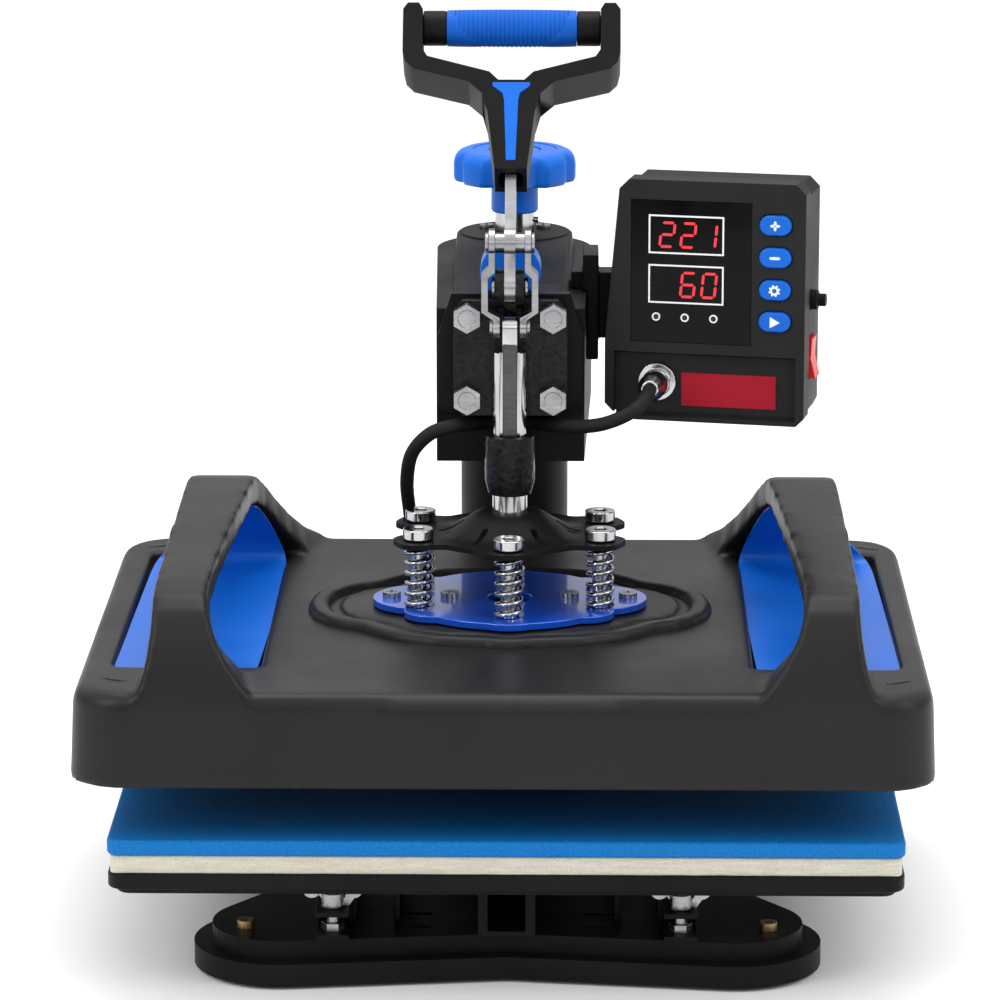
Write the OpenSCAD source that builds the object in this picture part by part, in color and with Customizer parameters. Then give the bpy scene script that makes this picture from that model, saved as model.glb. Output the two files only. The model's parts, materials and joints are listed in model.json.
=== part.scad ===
// Swing-away heat press: lower platen and pads on a pressed-steel base, a column
// with a swinging arm, a toggle lever, a sprung upper heater and a control box.
// Units are millimetres. Z is up, the operator stands at -Y, and the plunger
// axis is X = 0, Y = 0. The table is Z = 0.

/* [Platen] */
// width of the heated area and of the pads
platen_w = 380; // [300:5:400]
// depth of the heated area and of the pads
platen_d = 300; // [230:5:400]
// top of the silicone pad
pad_top = 80; // [60:1:110]
// thickness of the silicone pad
pad_t = 8; // [4:0.5:12]
// thickness of the felt board
felt_t = 9; // [5:0.5:15]
// gap between the pad and the open upper platen
open_gap = 26; // [15:1:40]

/* [Base] */
// radius of the two front foot lobes
lobe_r = 43; // [30:1:60]
// distance of the lobe centres from the middle
lobe_x = 110; // [80:1:140]
// height of the base over its raised panel
base_h = 22; // [15:1:35]

/* [Column] */
// column diameter
column_d = 57; // [40:1:80]
// distance of the column behind the plunger
column_y = 195; // [170:1:240]
// top of the column
column_top = 296; // [250:1:340]

/* [Toggle] */
// height of the fixed lever pivot
pivot_z = 319; // [300:1:340]
// distance from the fixed pivot to the link pin
crank_r = 22; // [15:0.5:30]
// lean of the open lever
lever_lean = 34; // [15:1:45]
// plunger rod diameter
rod_d = 17.2; // [12:0.1:24]

/* [Handle] */
// distance of the grip from the fixed pivot
grip_at = 140; // [110:1:170]
// depth of the handle moulding
handle_depth = 28; // [18:1:36]

/* [Heater cover] */
// cover width
cover_w = 406; // [320:1:430]
// cover depth
cover_d = 320; // [250:1:430]
// cover height without the straps
cover_h = 46; // [35:1:60]

/* [Control box] */
// turn of the box towards the operator
box_turn = 12; // [0:1:30]
// width of the box at its foot
box_w = 101; // [80:1:130]
// height of the box
box_h = 122; // [90:1:150]
// depth of the box
box_d = 48; // [35:1:70]

/* [Hidden] */
$fn = 64;
felt_z = pad_top - pad_t - felt_t;
heater_z = pad_top + open_gap;
cover_z = heater_z + 2;
cover_top = cover_z + cover_h;
plate_z = 158;
spider_z = 193;
bolt_x = 45;
bolt_y = 20;
bolt_front = 41;
casting_y = 9.5;
link_top = pivot_z + crank_r;
link_low = 298.6;
strap_x = 148;
box_x = 47;
box_y = 32;
box_z = 246;

// ---------------------------------------------------------------- helpers

module slab(x0, x1, y0, y1, z0, z1) {
  translate([x0, y0, z0]) cube([x1 - x0, y1 - y0, z1 - z0]);
}

module rounded_slab(w, d, h, r) {
  translate([-w / 2 + r, -d / 2, 0]) cube([w - 2 * r, d, h]);
  translate([-w / 2, -d / 2 + r, 0]) cube([w, d - 2 * r, h]);
  for (x = [-1, 1]) {
    for (y = [-1, 1]) {
      translate([x * (w / 2 - r), y * (d / 2 - r), 0]) cylinder(h = h, r = r);
    }
  }
}

module tube(h, ro, ri) {
  difference() {
    cylinder(h = h, r = ro);
    translate([0, 0, -1]) cylinder(h = h + 2, r = ri);
  }
}

// a bar along X, centred on X
module cross_bar(half, r) {
  translate([-half, 0, 0]) rotate([0, 90, 0]) cylinder(h = 2 * half, r = r);
}

// the open lever's own frame: Z runs along the lever from the fixed pivot
module at_lever() {
  translate([0, 0, pivot_z]) rotate([-lever_lean, 0, 0]) children();
}

// the control box's own frame: X across its front, Y into it, Z up it
module at_box() {
  translate([box_x, box_y, box_z]) rotate([0, 0, -box_turn]) children();
}

// outline in a plane across X, extruded to both sides of X = 0
module side_plate(half) {
  translate([-half, 0, 0]) rotate([90, 0, 90]) linear_extrude(height = 2 * half) children();
}

// ---------------------------------------------------------------- base

// outline of the base, shrunk by inset
module base_plan(inset) {
  for (side = [-1, 1]) {
    hull() {
      translate([side * lobe_x, -92]) circle(r = lobe_r - inset, $fn = 40);
      translate([0, -71]) circle(r = 50 - inset, $fn = 40);
      translate([0, 30]) circle(r = 60 - inset, $fn = 40);
    }
  }
  translate([-60 + inset, 0]) square([120 - 2 * inset, column_y]);
  translate([0, column_y - 5]) circle(r = 60 - inset, $fn = 40);
}

module base_plate() color([0.05, 0.05, 0.05]) {
  difference() {
    union() {
      translate([0, 0, 2]) linear_extrude(height = 11) base_plan(0);
      translate([0, 0, 13]) linear_extrude(height = base_h - 13) base_plan(9);
    }
    translate([0, 0, 1]) linear_extrude(height = base_h - 4) base_plan(12);
    // slots in the raised panel
    for (x = [-46, 46]) {
      slab(x - 9, x + 9, -104, -100, base_h - 4, base_h + 1);
      slab(x - 9, x + 9, -84, -80, base_h - 4, base_h + 1);
    }
  }
}

module rubber_feet() color([0.04, 0.04, 0.04]) {
  for (x = [-lobe_x, lobe_x]) {
    translate([x, -92, 0]) cylinder(h = 6, r = 14);
    translate([x, -92, 6]) cylinder(h = base_h - 3 - 6, r = 8);
  }
  for (x = [-30, 30]) {
    translate([x, 205, 0]) cylinder(h = 6, r = 13);
    translate([x, 205, 6]) cylinder(h = base_h - 3 - 6, r = 8);
  }
  // the middle foot stands under the plunger's axis
  cylinder(h = 6, r = 13);
  translate([0, 0, 6]) cylinder(h = base_h - 3 - 6, r = 8);
}

module foot_screws() color([0.6, 0.45, 0.2]) {
  for (x = [-127, 127]) {
    translate([x, -104, base_h]) {
      difference() {
        cylinder(h = 4, r = 4.2);
        translate([0, 0, 1.5]) cylinder(h = 4, r = 2, $fn = 6);
      }
    }
  }
}

// the middle channel and two side rails that carry the lower platen
module platen_rails() color([0.07, 0.07, 0.07]) {
  difference() {
    slab(-14, 14, -118, 146, base_h, felt_z - 11);
    slab(-9, 9, -119, 147, base_h + 3, felt_z - 10);
  }
  for (x = [-64, 64]) {
    difference() {
      slab(x - 12, x + 12, -96, 20, base_h, felt_z - 11);
      slab(x - 9, x + 9, -97, 21, base_h - 1, felt_z - 14);
    }
  }
}

module platen_clips() color([0.06, 0.06, 0.06]) {
  for (x = [-84, 84]) {
    difference() {
      union() {
        slab(x - 8, x + 8, -124, -96, base_h, base_h + 2.5);
        slab(x - 8, x + 8, -99, -96, base_h + 2.5, base_h + 11.5);
        slab(x - 8, x + 8, -124, -96, base_h + 11.5, base_h + 14);
      }
      translate([x, -114, base_h + 4]) cylinder(h = 20, r = 3.3);
    }
  }
}

module platen_studs() color([0.7, 0.7, 0.72]) {
  for (x = [-84, 84]) {
    translate([x, -114, base_h + 2.5]) cylinder(h = felt_z - 11 - base_h - 2.5, r = 3);
    translate([x, -114, base_h + 2.5]) cylinder(h = 4, r = 5.7, $fn = 6);
  }
}

// two-winged nut on a vertical stud
module wing_nut(x) {
  translate([x, -114, base_h + 14.3]) {
    difference() {
      union() {
        cylinder(h = 7, r = 5.6);
        for (side = [-1, 1]) {
          translate([side * 4, 0, 2]) rotate([0, side * 35, 0])
            translate([0, -1.3, 0]) cube([4, 2.6, 9.5]);
          translate([side * 10.2, 1.3, 8.6]) rotate([90, 0, 0]) cylinder(h = 2.6, r = 4.4);
        }
      }
      translate([0, 0, -1]) cylinder(h = 20, r = 3.06);
    }
  }
}

module wing_nut_left() color([0.75, 0.75, 0.77]) wing_nut(-84);

module wing_nut_right() color([0.75, 0.75, 0.77]) wing_nut(84);

module lower_platen() color([0.04, 0.04, 0.04]) {
  translate([0, 0, felt_z - 8]) rounded_slab(platen_w, platen_d, 8, 9);
  translate([0, 0, felt_z - 11]) rounded_slab(platen_w - 8, platen_d - 8, 3, 7);
}

module felt_board() color([0.87, 0.83, 0.72]) {
  translate([0, 0, felt_z]) rounded_slab(platen_w - 3, platen_d - 3, felt_t, 3);
}

module silicone_pad() color([0.02, 0.5, 0.85]) {
  translate([0, 0, pad_top - pad_t]) rounded_slab(platen_w, platen_d, pad_t, 6);
}

// ---------------------------------------------------------------- column

module column() color([0.05, 0.05, 0.05]) {
  translate([0, column_y, base_h + 8]) tube(column_top - base_h - 8, column_d / 2, 22.5);
}

module column_flange() color([0.05, 0.05, 0.05]) {
  translate([0, column_y, base_h]) {
    difference() {
      cylinder(h = 8, r = 47);
      for (a = [45 : 90 : 315]) {
        rotate([0, 0, a]) translate([39.2, 0, -1]) cylinder(h = 10, r = 4.2);
      }
    }
    translate([0, 0, 8]) tube(6, column_d / 2 + 2.7, column_d / 2);
  }
}

module flange_bolts() color([0.7, 0.7, 0.72]) {
  for (a = [45 : 90 : 315]) {
    translate([0, column_y, base_h]) rotate([0, 0, a]) translate([39.2, 0, 0]) {
      cylinder(h = 8, r = 4);
      translate([0, 0, 8]) cylinder(h = 5.3, r = 7.5, $fn = 6);
    }
  }
}

module swivel_nut() color([0.6, 0.5, 0.3]) {
  translate([0, column_y, 0]) {
    translate([0, 0, 262]) tube(column_top - 262, 22.44, 6.06);
    translate([0, 0, column_top + 0.05]) tube(2.9, 26, 6.06);
    translate([0, 0, column_top]) tube(0.05, 20, 6.06);
  }
}

// ---------------------------------------------------------------- arm

module arm_sleeve() color([0.08, 0.08, 0.08]) {
  translate([0, column_y, 214]) {
    tube(12, 34, column_d / 2 + 0.06);
    translate([0, 0, 12]) tube(62, 34, column_d / 2 + 0.6);
    translate([0, 0, 74]) tube(12, 34, column_d / 2 + 0.06);
  }
}

module arm_beam() color([0.08, 0.08, 0.08]) {
  difference() {
    slab(-20, 20, 26, 175, 236, 291);
    slab(-16, 16, 40, 176, 240, 287);
    slab(-21, 21, 25, 31, 235, 251.5);
    translate([0, column_y, 200]) cylinder(h = 120, r = 34);
    for (x = [-21.3 / 2, 21.3 / 2]) {
      slab(x - 3, x + 3, 25, 29, 272, 284);
    }
  }
}

// outline of the shroud, shrunk by inset
module shroud_plan(inset) {
  hull() {
    translate([0, column_y]) circle(r = 41 - inset, $fn = 48);
    translate([-37 + inset, 26 + inset]) square([74 - 2 * inset, 20 - inset]);
  }
}

module arm_shroud() color([0.06, 0.06, 0.06]) {
  difference() {
    translate([0, 0, 225]) linear_extrude(height = 78) shroud_plan(0);
    translate([0, 0, 224]) linear_extrude(height = 76) shroud_plan(3);
    translate([0, column_y, 290]) cylinder(h = 20, r = 29.6);
    // open front behind the frame
    slab(-33, 33, 20, 34, 251, 299);
  }
}

module arm_frame() color([0.07, 0.07, 0.07]) {
  difference() {
    union() {
      translate([0, 26, 0]) rotate([90, 0, 0]) linear_extrude(height = 8)
        polygon([[-29.5, 312], [29.5, 312], [36, 291], [36, 255], [32, 251], [-32, 251], [-36, 255], [-36, 291]]);
      slab(-24, 24, 18, 60, 303, 309);
    }
    for (x = [-21.3, 21.3]) {
      for (z = [260.7, 302]) {
        translate([x, 30, z]) rotate([90, 0, 0]) cylinder(h = 20, r = 4.2);
      }
    }
  }
}

module arm_cap() color([0.05, 0.05, 0.05]) {
  translate([0, column_y, 300]) {
    difference() {
      cylinder(h = 12, r = 29.3);
      translate([0, 0, -1]) cylinder(h = 14, r = 6.06);
      for (x = [-15, 15]) {
        translate([x, 8, 8]) cylinder(h = 5, r = 2.2);
      }
    }
  }
}

module cap_screws() color([0.75, 0.75, 0.77]) {
  for (x = [-15, 15]) {
    translate([x, column_y + 8, 308]) {
      cylinder(h = 4, r = 2);
      difference() {
        translate([0, 0, 4]) cylinder(h = 2, r = 3.8);
        translate([0, 0, 5.2]) slab(-3, 3, -0.5, 0.5, 0, 2);
        translate([0, 0, 5.2]) slab(-0.5, 0.5, -3, 3, 0, 2);
      }
    }
  }
}

module rest_bumper() color([0.1, 0.25, 0.75]) {
  difference() {
    translate([0, 46, 321]) rotate([90, 0, 0]) cylinder(h = 20, r = 15.2);
    slab(-20, 20, 20, 50, 300, 312);
    slab(-20, 20, 34, 50, 300, 309);
  }
  slab(-9, 9, 28, 44, 309, 312);
}

// ---------------------------------------------------------------- toggle

module toggle_casting() color([0.06, 0.06, 0.06]) {
  difference() {
    union() {
      // face plate
      translate([0, 18, 0]) rotate([90, 0, 0]) linear_extrude(height = 18 - casting_y)
        polygon([[-24, 310], [24, 310], [28.3, 304], [28.3, 258], [24, 252], [-24, 252], [-28.3, 258], [-28.3, 304]]);
      // guide barrel and its web
      translate([0, 0, 222]) cylinder(h = 22.5, r = 12.4);
      translate([0, 0, 215]) cylinder(h = 7, r1 = 10.6, r2 = 12.4);
      slab(-8, 8, 8, 18, 219, 254);
      // two ears that carry the lever
      for (side = [-1, 1]) {
        translate([side * 5.05, 0, 0]) side_plate(2.05) union() {
          translate([0, pivot_z]) circle(r = 9);
          polygon([[-6, 312.4], [8, 323], [18, 306], [18, 296], [9.6, 296], [8, 306.5]]);
        }
      }
    }
    translate([0, 0, 200]) cylinder(h = 60, r = rod_d / 2 + 0.06);
    translate([0, 0, pivot_z]) cross_bar(20, 4);
    for (x = [-21.3, 21.3]) {
      for (z = [260.7, 302]) {
        translate([x, 30, z]) rotate([90, 0, 0]) cylinder(h = 30, r = 4.2);
      }
    }
  }
}

module casting_bolts() color([0.75, 0.75, 0.77]) {
  for (x = [-21.3, 21.3]) {
    for (z = [260.7, 302]) {
      translate([x, casting_y, z]) rotate([90, 0, 0]) {
        difference() {
          rotate([0, 0, 30]) cylinder(h = 6.5, r = 7.5, $fn = 6);
          translate([0, 0, 6]) cylinder(h = 1, r = 4.4);
        }
        translate([0, 0, -16]) cylinder(h = 16, r = 4);
      }
    }
  }
}

module pivot_pin() color([0.7, 0.7, 0.72]) {
  translate([0, 0, pivot_z]) {
    cross_bar(7.2, 3.94);
    for (side = [-1, 1]) {
      translate([side * 8.1, 0, 0]) cross_bar(0.9, 5);
    }
  }
}

// side outline of the steel lever: two eyes, the web between them and the bar
module lever_outline() {
  translate([0, pivot_z]) circle(r = 8.2);
  translate([0, link_top]) circle(r = 7.4);
  translate([-6, pivot_z]) square([12, crank_r]);
  translate([0, pivot_z]) rotate(-lever_lean) {
    translate([-6.5, 0]) square([13, 30]);
    translate([-8, 24]) square([16, 76]);
    polygon([[-9, 24], [-3, 26], [-3, 36], [-7.5, 36]]);
  }
}

module lever_bar() color([0.78, 0.78, 0.8]) {
  difference() {
    union() {
      side_plate(2.7) lever_outline();
      // spacer boss under the link plates
      translate([0, 0, link_top]) cross_bar(7.2, 5);
    }
    translate([0, 0, pivot_z]) cross_bar(20, 4.02);
    translate([0, 0, link_top]) cross_bar(20, 3.2);
  }
}

// outline of the moulding seen from the front
function handle_half() = [
  [8, 57.5], [11.8, 88.7], [14.5, 98.6], [21.5, 105], [49, 112], [53, 116], [54.4, 122],
  [54.4, 145], [52, 148.5], [46.5, 148.5], [44.5, 145], [44.5, 123], [42, 119], [11, 110.5], [6.5, 106]
];

module handle_moulding() color([0.08, 0.08, 0.08]) {
  half = handle_half();
  outline = concat(half, [for (i = [len(half) - 1 : -1 : 0]) [-half[i][0], half[i][1]]]);
  at_lever() difference() {
    translate([0, handle_depth / 2, 0]) rotate([90, 0, 0]) linear_extrude(height = handle_depth) polygon(outline);
    // eight-sided mouth and the slot for the lever
    slab(-5, 5, -9, 9, 50, 65);
    for (t = [-1, 1]) {
      translate([0, t * 3, 50]) rotate([0, 0, 22.5]) cylinder(h = 15, r = 6.6, $fn = 8);
    }
    slab(-2.71, 2.71, -8.01, 8.01, 40, 100.01);
    // recess for the inlay
    translate([0, -handle_depth / 2 + 1.5, 0]) rotate([90, 0, 0]) linear_extrude(height = 5) inlay_outline(0.02);
    // holes for the grip
    translate([0, -2, grip_at]) cross_bar(49.5, 6);
  }
}

module inlay_outline(grow) {
  polygon([
    [-2.4 - grow, 62 - grow], [2.4 + grow, 62 - grow], [3.6 + grow, 95], [4.4 + grow, 98.6],
    [9.4 + grow, 102.5], [9.4 + grow, 104.5 + grow], [-9.4 - grow, 104.5 + grow],
    [-9.4 - grow, 102.5], [-4.4 - grow, 98.6], [-3.6 - grow, 95]
  ]);
}

module handle_inlay() color([0.05, 0.3, 0.85]) {
  at_lever() translate([0, -handle_depth / 2 + 1.5, 0])
    rotate([90, 0, 0]) linear_extrude(height = 1.9) inlay_outline(0);
}

module grip_core() color([0.07, 0.07, 0.07]) {
  at_lever() translate([0, -2, grip_at]) {
    cross_bar(49.4, 5.9);
    for (side = [-1, 1]) {
      translate([side * 38.5, 0, 0]) cross_bar(5.9, 8.8);
    }
  }
}

module grip_sleeve() color([0.05, 0.25, 0.8]) {
  at_lever() translate([0, -2, grip_at]) {
    difference() {
      cross_bar(32.5, 9.2);
      cross_bar(40, 5.95);
    }
  }
}

// one side of the link: it hugs the lever at the top, clears the ears and closes on the tang
module link_side(side) {
  translate([side * 8.9, 0, 0]) side_plate(1.5) union() {
    translate([0, link_top]) circle(r = 7);
    translate([-5.5, link_top - 13]) square([11, 13]);
  }
  translate([side * 12.4, 0, 0]) side_plate(1.6) translate([-5.5, 308]) square([11, 15]);
  translate([0, 5.5, 0]) rotate([90, 0, 0]) linear_extrude(height = 11) {
    polygon([
      [side * 7.4, 329], [side * 10.4, 329], [side * 14, 325.5], [side * 14, 321],
      [side * 10.8, 321], [side * 10.8, 324], [side * 7.4, 327]
    ]);
    polygon([
      [side * 14, 309], [side * 10.8, 309], [side * 10.8, 307.5], [side * 5, 304.4],
      [side * 5, 302], [side * 8.2, 302], [side * 8.2, 303], [side * 14, 307]
    ]);
  }
  translate([side * 6.6, 0, 0]) side_plate(1.6) union() {
    translate([0, link_low]) circle(r = 6);
    translate([-5.5, link_low]) square([11, 5]);
  }
}

module link_plates() color([0.78, 0.78, 0.8]) {
  for (side = [-1, 1]) {
    difference() {
      link_side(side);
      translate([0, 0, link_top]) cross_bar(20, 3.2);
      translate([0, 0, link_low]) cross_bar(20, 3.2);
    }
  }
}

module link_rivets() color([0.7, 0.7, 0.72]) {
  for (side = [-1, 1]) {
    translate([side * 8.9, 0, link_top]) cross_bar(1.5, 3.15);
    translate([side * 11.3, 0, link_top]) cross_bar(0.9, 5);
    translate([side * 6.6, 0, link_low]) cross_bar(1.6, 3.15);
    translate([side * 9.1, 0, link_low]) cross_bar(0.9, 4.2);
  }
}

module plunger_rod() color([0.75, 0.75, 0.77]) {
  translate([0, 0, 190]) cylinder(h = 286.7 - 190, r = rod_d / 2);
  side_plate(3.6) union() {
    translate([0, link_low]) circle(r = 5.5);
    translate([-5.5, 286]) square([11, link_low - 286]);
  }
  translate([0, 0, 186]) cylinder(h = 7, r = 10, $fn = 6);
}

// ---------------------------------------------------------------- springs

function spring_points() = [
  [-bolt_x, -bolt_y], [bolt_x, -bolt_y], [0, -bolt_front],
  [-bolt_x, bolt_y], [bolt_x, bolt_y], [0, bolt_front]
];

module spider_plate() color([0.05, 0.05, 0.05]) {
  difference() {
    union() {
      translate([0, 0, spider_z]) {
        for (p = spring_points()) {
          translate([p[0], p[1], 0]) cylinder(h = 3, r = 11);
        }
        cylinder(h = 3, r = 40);
        for (p = spring_points()) {
          rotate([0, 0, atan2(p[1], p[0])])
            translate([0, -10, 0]) cube([norm(p), 20, 3]);
        }
      }
      translate([0, 0, spider_z + 3]) cylinder(h = 9, r1 = 33, r2 = 15);
    }
    translate([0, 0, spider_z - 1]) cylinder(h = 5, r1 = 31, r2 = 22);
    translate([0, 0, spider_z - 1]) cylinder(h = 20, r = rod_d / 2);
    for (p = spring_points()) {
      translate([p[0], p[1], spider_z - 1]) cylinder(h = 5, r = 4.05);
    }
  }
}

module spring_bolts() color([0.78, 0.78, 0.8]) {
  for (p = spring_points()) {
    translate([p[0], p[1], 0]) {
      translate([0, 0, plate_z + 3.5]) cylinder(h = spider_z + 3.2 - plate_z - 3.5, r = 4);
      translate([0, 0, spider_z + 3.2]) {
        difference() {
          cylinder(h = 5.2, r = 7.6);
          translate([0, 0, 2]) cylinder(h = 4, r = 3.4, $fn = 6);
        }
      }
    }
  }
}

module spring_coils() color([0.75, 0.75, 0.77]) {
  coil_h = spider_z - plate_z - 3.7;
  for (p = spring_points()) {
    translate([p[0], p[1], plate_z + 3.5]) rotate_extrude() {
      translate([4.6, 0]) square([1, coil_h]);
      for (k = [0 : 6]) {
        translate([5.9, 1.1 + k * (coil_h - 2.2) / 6]) circle(r = 1.08, $fn = 16);
      }
    }
  }
}

module spring_plate() color([0.02, 0.22, 0.85]) {
  translate([0, 0, plate_z]) {
    difference() {
      union() {
        cylinder(h = 3.5, r = 53.5);
        for (side = [-1, 1]) {
          translate([side * 44.4, 0, 0]) cylinder(h = 3.5, r = 24);
          translate([0, side * 37.6, 0]) cylinder(h = 3.5, r = 18);
          for (t = [-1, 1]) {
            translate([side * 38, t * 26, 0]) cylinder(h = 3.5, r = 14);
          }
        }
      }
      translate([0, 0, -1]) cylinder(h = 6, r = 11);
      for (x = [-59, -30, 30, 59]) {
        translate([x, 0, -1]) cylinder(h = 6, r = 2.6);
      }
    }
  }
}

module plate_screws() color([0.7, 0.7, 0.72]) {
  for (x = [-59, -30, 30, 59]) {
    translate([x, 0, 146]) cylinder(h = plate_z + 3.5 - 146, r = 2.5);
    translate([x, 0, plate_z + 3.5]) {
      difference() {
        cylinder(h = 2.6, r = 4.6);
        translate([0, 0, 1.4]) slab(-3, 3, -0.6, 0.6, 0, 2);
        translate([0, 0, 1.4]) slab(-0.6, 0.6, -3, 3, 0, 2);
      }
    }
  }
}

// ---------------------------------------------------------------- heater

// outline of the cover's rim, shrunk by inset
module rim_plan(inset) {
  circle(r = 80 - inset);
  for (x = [-66, 66]) {
    translate([x, 0]) circle(r = 35 - inset);
  }
}

// side outline of one carrying strap, with the hand gap left out
module strap_outline() {
  polygon([
    [-158, cover_top - 6], [-153, 172], [-145, 192], [-132, 200], [-40, 205], [55, 208.5],
    [78, 205], [100, 192], [122, 172], [140, 160], [156, cover_top - 6],
    [122, cover_top - 6], [112, 161], [98, 176], [82, 188], [56, 193.5], [-40, 190.5],
    [-112, 186], [-120, 180], [-123, 170], [-119, 160], [-110, cover_top - 6]
  ]);
}

module heater_cover() color([0.1, 0.1, 0.1]) {
  difference() {
    union() {
      translate([0, 0, cover_z]) rounded_slab(cover_w, cover_d, cover_h, 24);
      for (side = [-1, 1]) {
        translate([side * strap_x, 0, 0]) side_plate(17.5) strap_outline();
      }
      // raised rim round the spring plate
      translate([0, 0, cover_top]) linear_extrude(height = 4.4) difference() {
        rim_plan(0);
        rim_plan(11);
      }
    }
    translate([0, 0, cover_z - 1]) rounded_slab(cover_w - 8, cover_d - 8, cover_h - 3, 20);
    // hollow of the straps' hand wells, filled by the liners
    for (side = [-1, 1]) {
      slab(side * 154 - 36, side * 154 + 36, -109, 117, cover_top - 6, cover_top + 1);
    }
    for (x = [-59, -30, 30, 59]) {
      translate([x, 0, cover_z]) cylinder(h = 60, r = 2.6);
    }
    translate([-46, 62, cover_top - 10]) cylinder(h = 20, r = 6);
  }
}

// blue trays under the straps
module cover_liners() color([0.03, 0.2, 0.75]) {
  for (side = [-1, 1]) {
    difference() {
      slab(side * 154 - 35.9, side * 154 + 35.9, -108.9, 116.9, cover_top - 8, cover_top);
      slab(side * 154 - 33, side * 154 + 33, -106, 114, cover_top - 5, cover_top + 1);
      slab(side * 154 - 37, side * 154 + 37, -110, 118, cover_top - 9, cover_top - 6.9);
    }
  }
}

module insulation() color([0.75, 0.73, 0.68]) {
  difference() {
    translate([0, 0, heater_z + 16]) rounded_slab(370, 290, 16, 8);
    for (x = [-59, -30, 30, 59]) {
      translate([x, 0, heater_z]) cylinder(h = 60, r = 6.02);
    }
  }
}

module heater_platen() color([0.12, 0.12, 0.12]) {
  translate([0, 0, heater_z]) rounded_slab(platen_w, platen_d, 16, 9);
  for (x = [-59, -30, 30, 59]) {
    translate([x, 0, heater_z + 16]) cylinder(h = 146 - heater_z - 16, r = 6);
  }
}

// ---------------------------------------------------------------- knob

module spindle() color([0.72, 0.72, 0.74]) {
  translate([0, column_y, 268]) cylinder(h = 352 - 268, r = 6);
}

module spindle_collar() color([0.78, 0.78, 0.8]) {
  translate([0, column_y, 312.4]) {
    difference() {
      tube(10.1, 10.35, 6);
      translate([0, 0, 5.5]) rotate([0, 90, 0]) cylinder(h = 20, r = 1.5);
    }
    translate([6, 0, 5.5]) rotate([0, 90, 0]) cylinder(h = 6.5, r = 1.5);
  }
}

module pressure_knob() color([0.08, 0.28, 0.8]) {
  translate([0, column_y, 0]) {
    difference() {
      union() {
        translate([0, 0, 339]) cylinder(h = 13, r = 32.3);
        translate([0, 0, 352]) cylinder(h = 4, r1 = 32.3, r2 = 28.5);
        translate([0, 0, 322.6]) cylinder(h = 16.4, r = 12.45);
      }
      for (a = [22.5 : 45 : 360]) {
        rotate([0, 0, a]) translate([39.5, 0, 330]) cylinder(h = 22, r = 10);
      }
      translate([0, 0, 320]) cylinder(h = 32, r = 6);
      translate([0, 0, 354]) cylinder(h = 3, r = 22);
    }
  }
}

module knob_disc() color([0.1, 0.3, 0.85]) {
  translate([0, column_y, 354]) tube(1.6, 21.9, 14);
  translate([0, column_y, 354]) cylinder(h = 1.2, r = 13);
}

// ---------------------------------------------------------------- control box

module box_bracket() color([0.06, 0.06, 0.06]) {
  difference() {
    slab(36, 44, 70, 100, 268, 322);
    translate([0, 0, 200]) linear_extrude(height = 103) shroud_plan(0);
  }
  difference() {
    slab(44, 62, 76, 92, 278, 312);
    at_box() slab(-5, 120, -5, box_d + 0.01, -5, 130);
  }
  slab(30, 36, 78, 92, 303, 312);
}

module box_shell() color([0.2, 0.2, 0.21]) {
  at_box() difference() {
    union() {
      // front frame, wider at its foot
      translate([0, 14, 0]) rotate([90, 0, 0]) linear_extrude(height = 14)
        polygon([[4, 4], [7, 0], [box_w - 4, 0], [box_w, 4], [box_w, box_h - 5], [box_w - 5, box_h],
          [12, box_h], [7, box_h - 5], [0, 40], [0, 8]]);
    }
    // slanted recess of the lower panel
    translate([0, 0, 0]) rotate([90, 0, 90]) translate([0, 0, 4.5]) linear_extrude(height = box_w - 9)
      polygon([[-1, 35], [6, 33], [6, 3], [-1, 2]]);
    // window and key openings
    slab(13, 74, -1, 2.6, 40, 112);
    for (z = [53, 69, 85.3, 101.5]) {
      translate([86, -1, z]) rotate([-90, 0, 0]) {
        cylinder(h = 20, r = 5.4);
        for (t = [-3, 3]) {
          translate([t, 0, 0]) cylinder(h = 20, r = 5.4);
        }
      }
      slab(83, 89, -1, 19, z - 5.4, z + 5.4);
    }
    translate([26, -1, 19]) rotate([-90, 0, 0]) cylinder(h = 20, r = 7.6);
    slab(6, box_w - 6, 8, 15, 5, box_h - 8);
  }
}

module box_back() color([0.08, 0.08, 0.08]) {
  at_box() difference() {
    translate([0, box_d, 0]) rotate([90, 0, 0]) linear_extrude(height = box_d - 14)
      polygon([[7, 2], [box_w - 3, 2], [box_w - 1, 6], [box_w - 1, box_h - 8], [box_w - 6, box_h - 3],
        [12, box_h - 3], [8, box_h - 8], [2, 40], [2, 8]]);
    slab(9, box_w - 4, 13, box_d - 3, 5, box_h - 6);
    // rocker and button openings in the right side
    slab(box_w - 5, box_w + 1, 19, 33, 20.5, 41.5);
    translate([box_w - 5, 26, 60]) rotate([0, 90, 0]) cylinder(h = 8, r = 5.2);
  }
}

module display_panel() color([0.01, 0.01, 0.01]) {
  at_box() slab(13.05, 73.95, 0.4, 2.6, 40.05, 111.95);
}

// the two number displays and three lamps, in low relief on the panel
module display_cells() color([0.9, 0.9, 0.9]) {
  at_box() {
    for (z = [60, 85]) {
      difference() {
        slab(22, 60, 0, 0.4, z, z + 19.5);
        slab(22.8, 59.2, -1, 1, z + 0.8, z + 18.7);
      }
    }
    for (x = [26, 40.5, 55]) {
      translate([x, 0.4, 53]) rotate([90, 0, 0]) tube(0.4, 2.1, 1.4);
    }
  }
}

module cable_socket() color([0.75, 0.75, 0.77]) {
  at_box() translate([26, 14, 19]) rotate([90, 0, 0]) {
    cylinder(h = 8, r = 7.5);
    translate([0, 0, 8]) cylinder(h = 3, r = 9.6);
    translate([0, 0, 11]) cylinder(h = 14, r = 6.8);
    translate([0, 0, 25]) cylinder(h = 5, r1 = 6.8, r2 = 4.2);
  }
}

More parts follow.
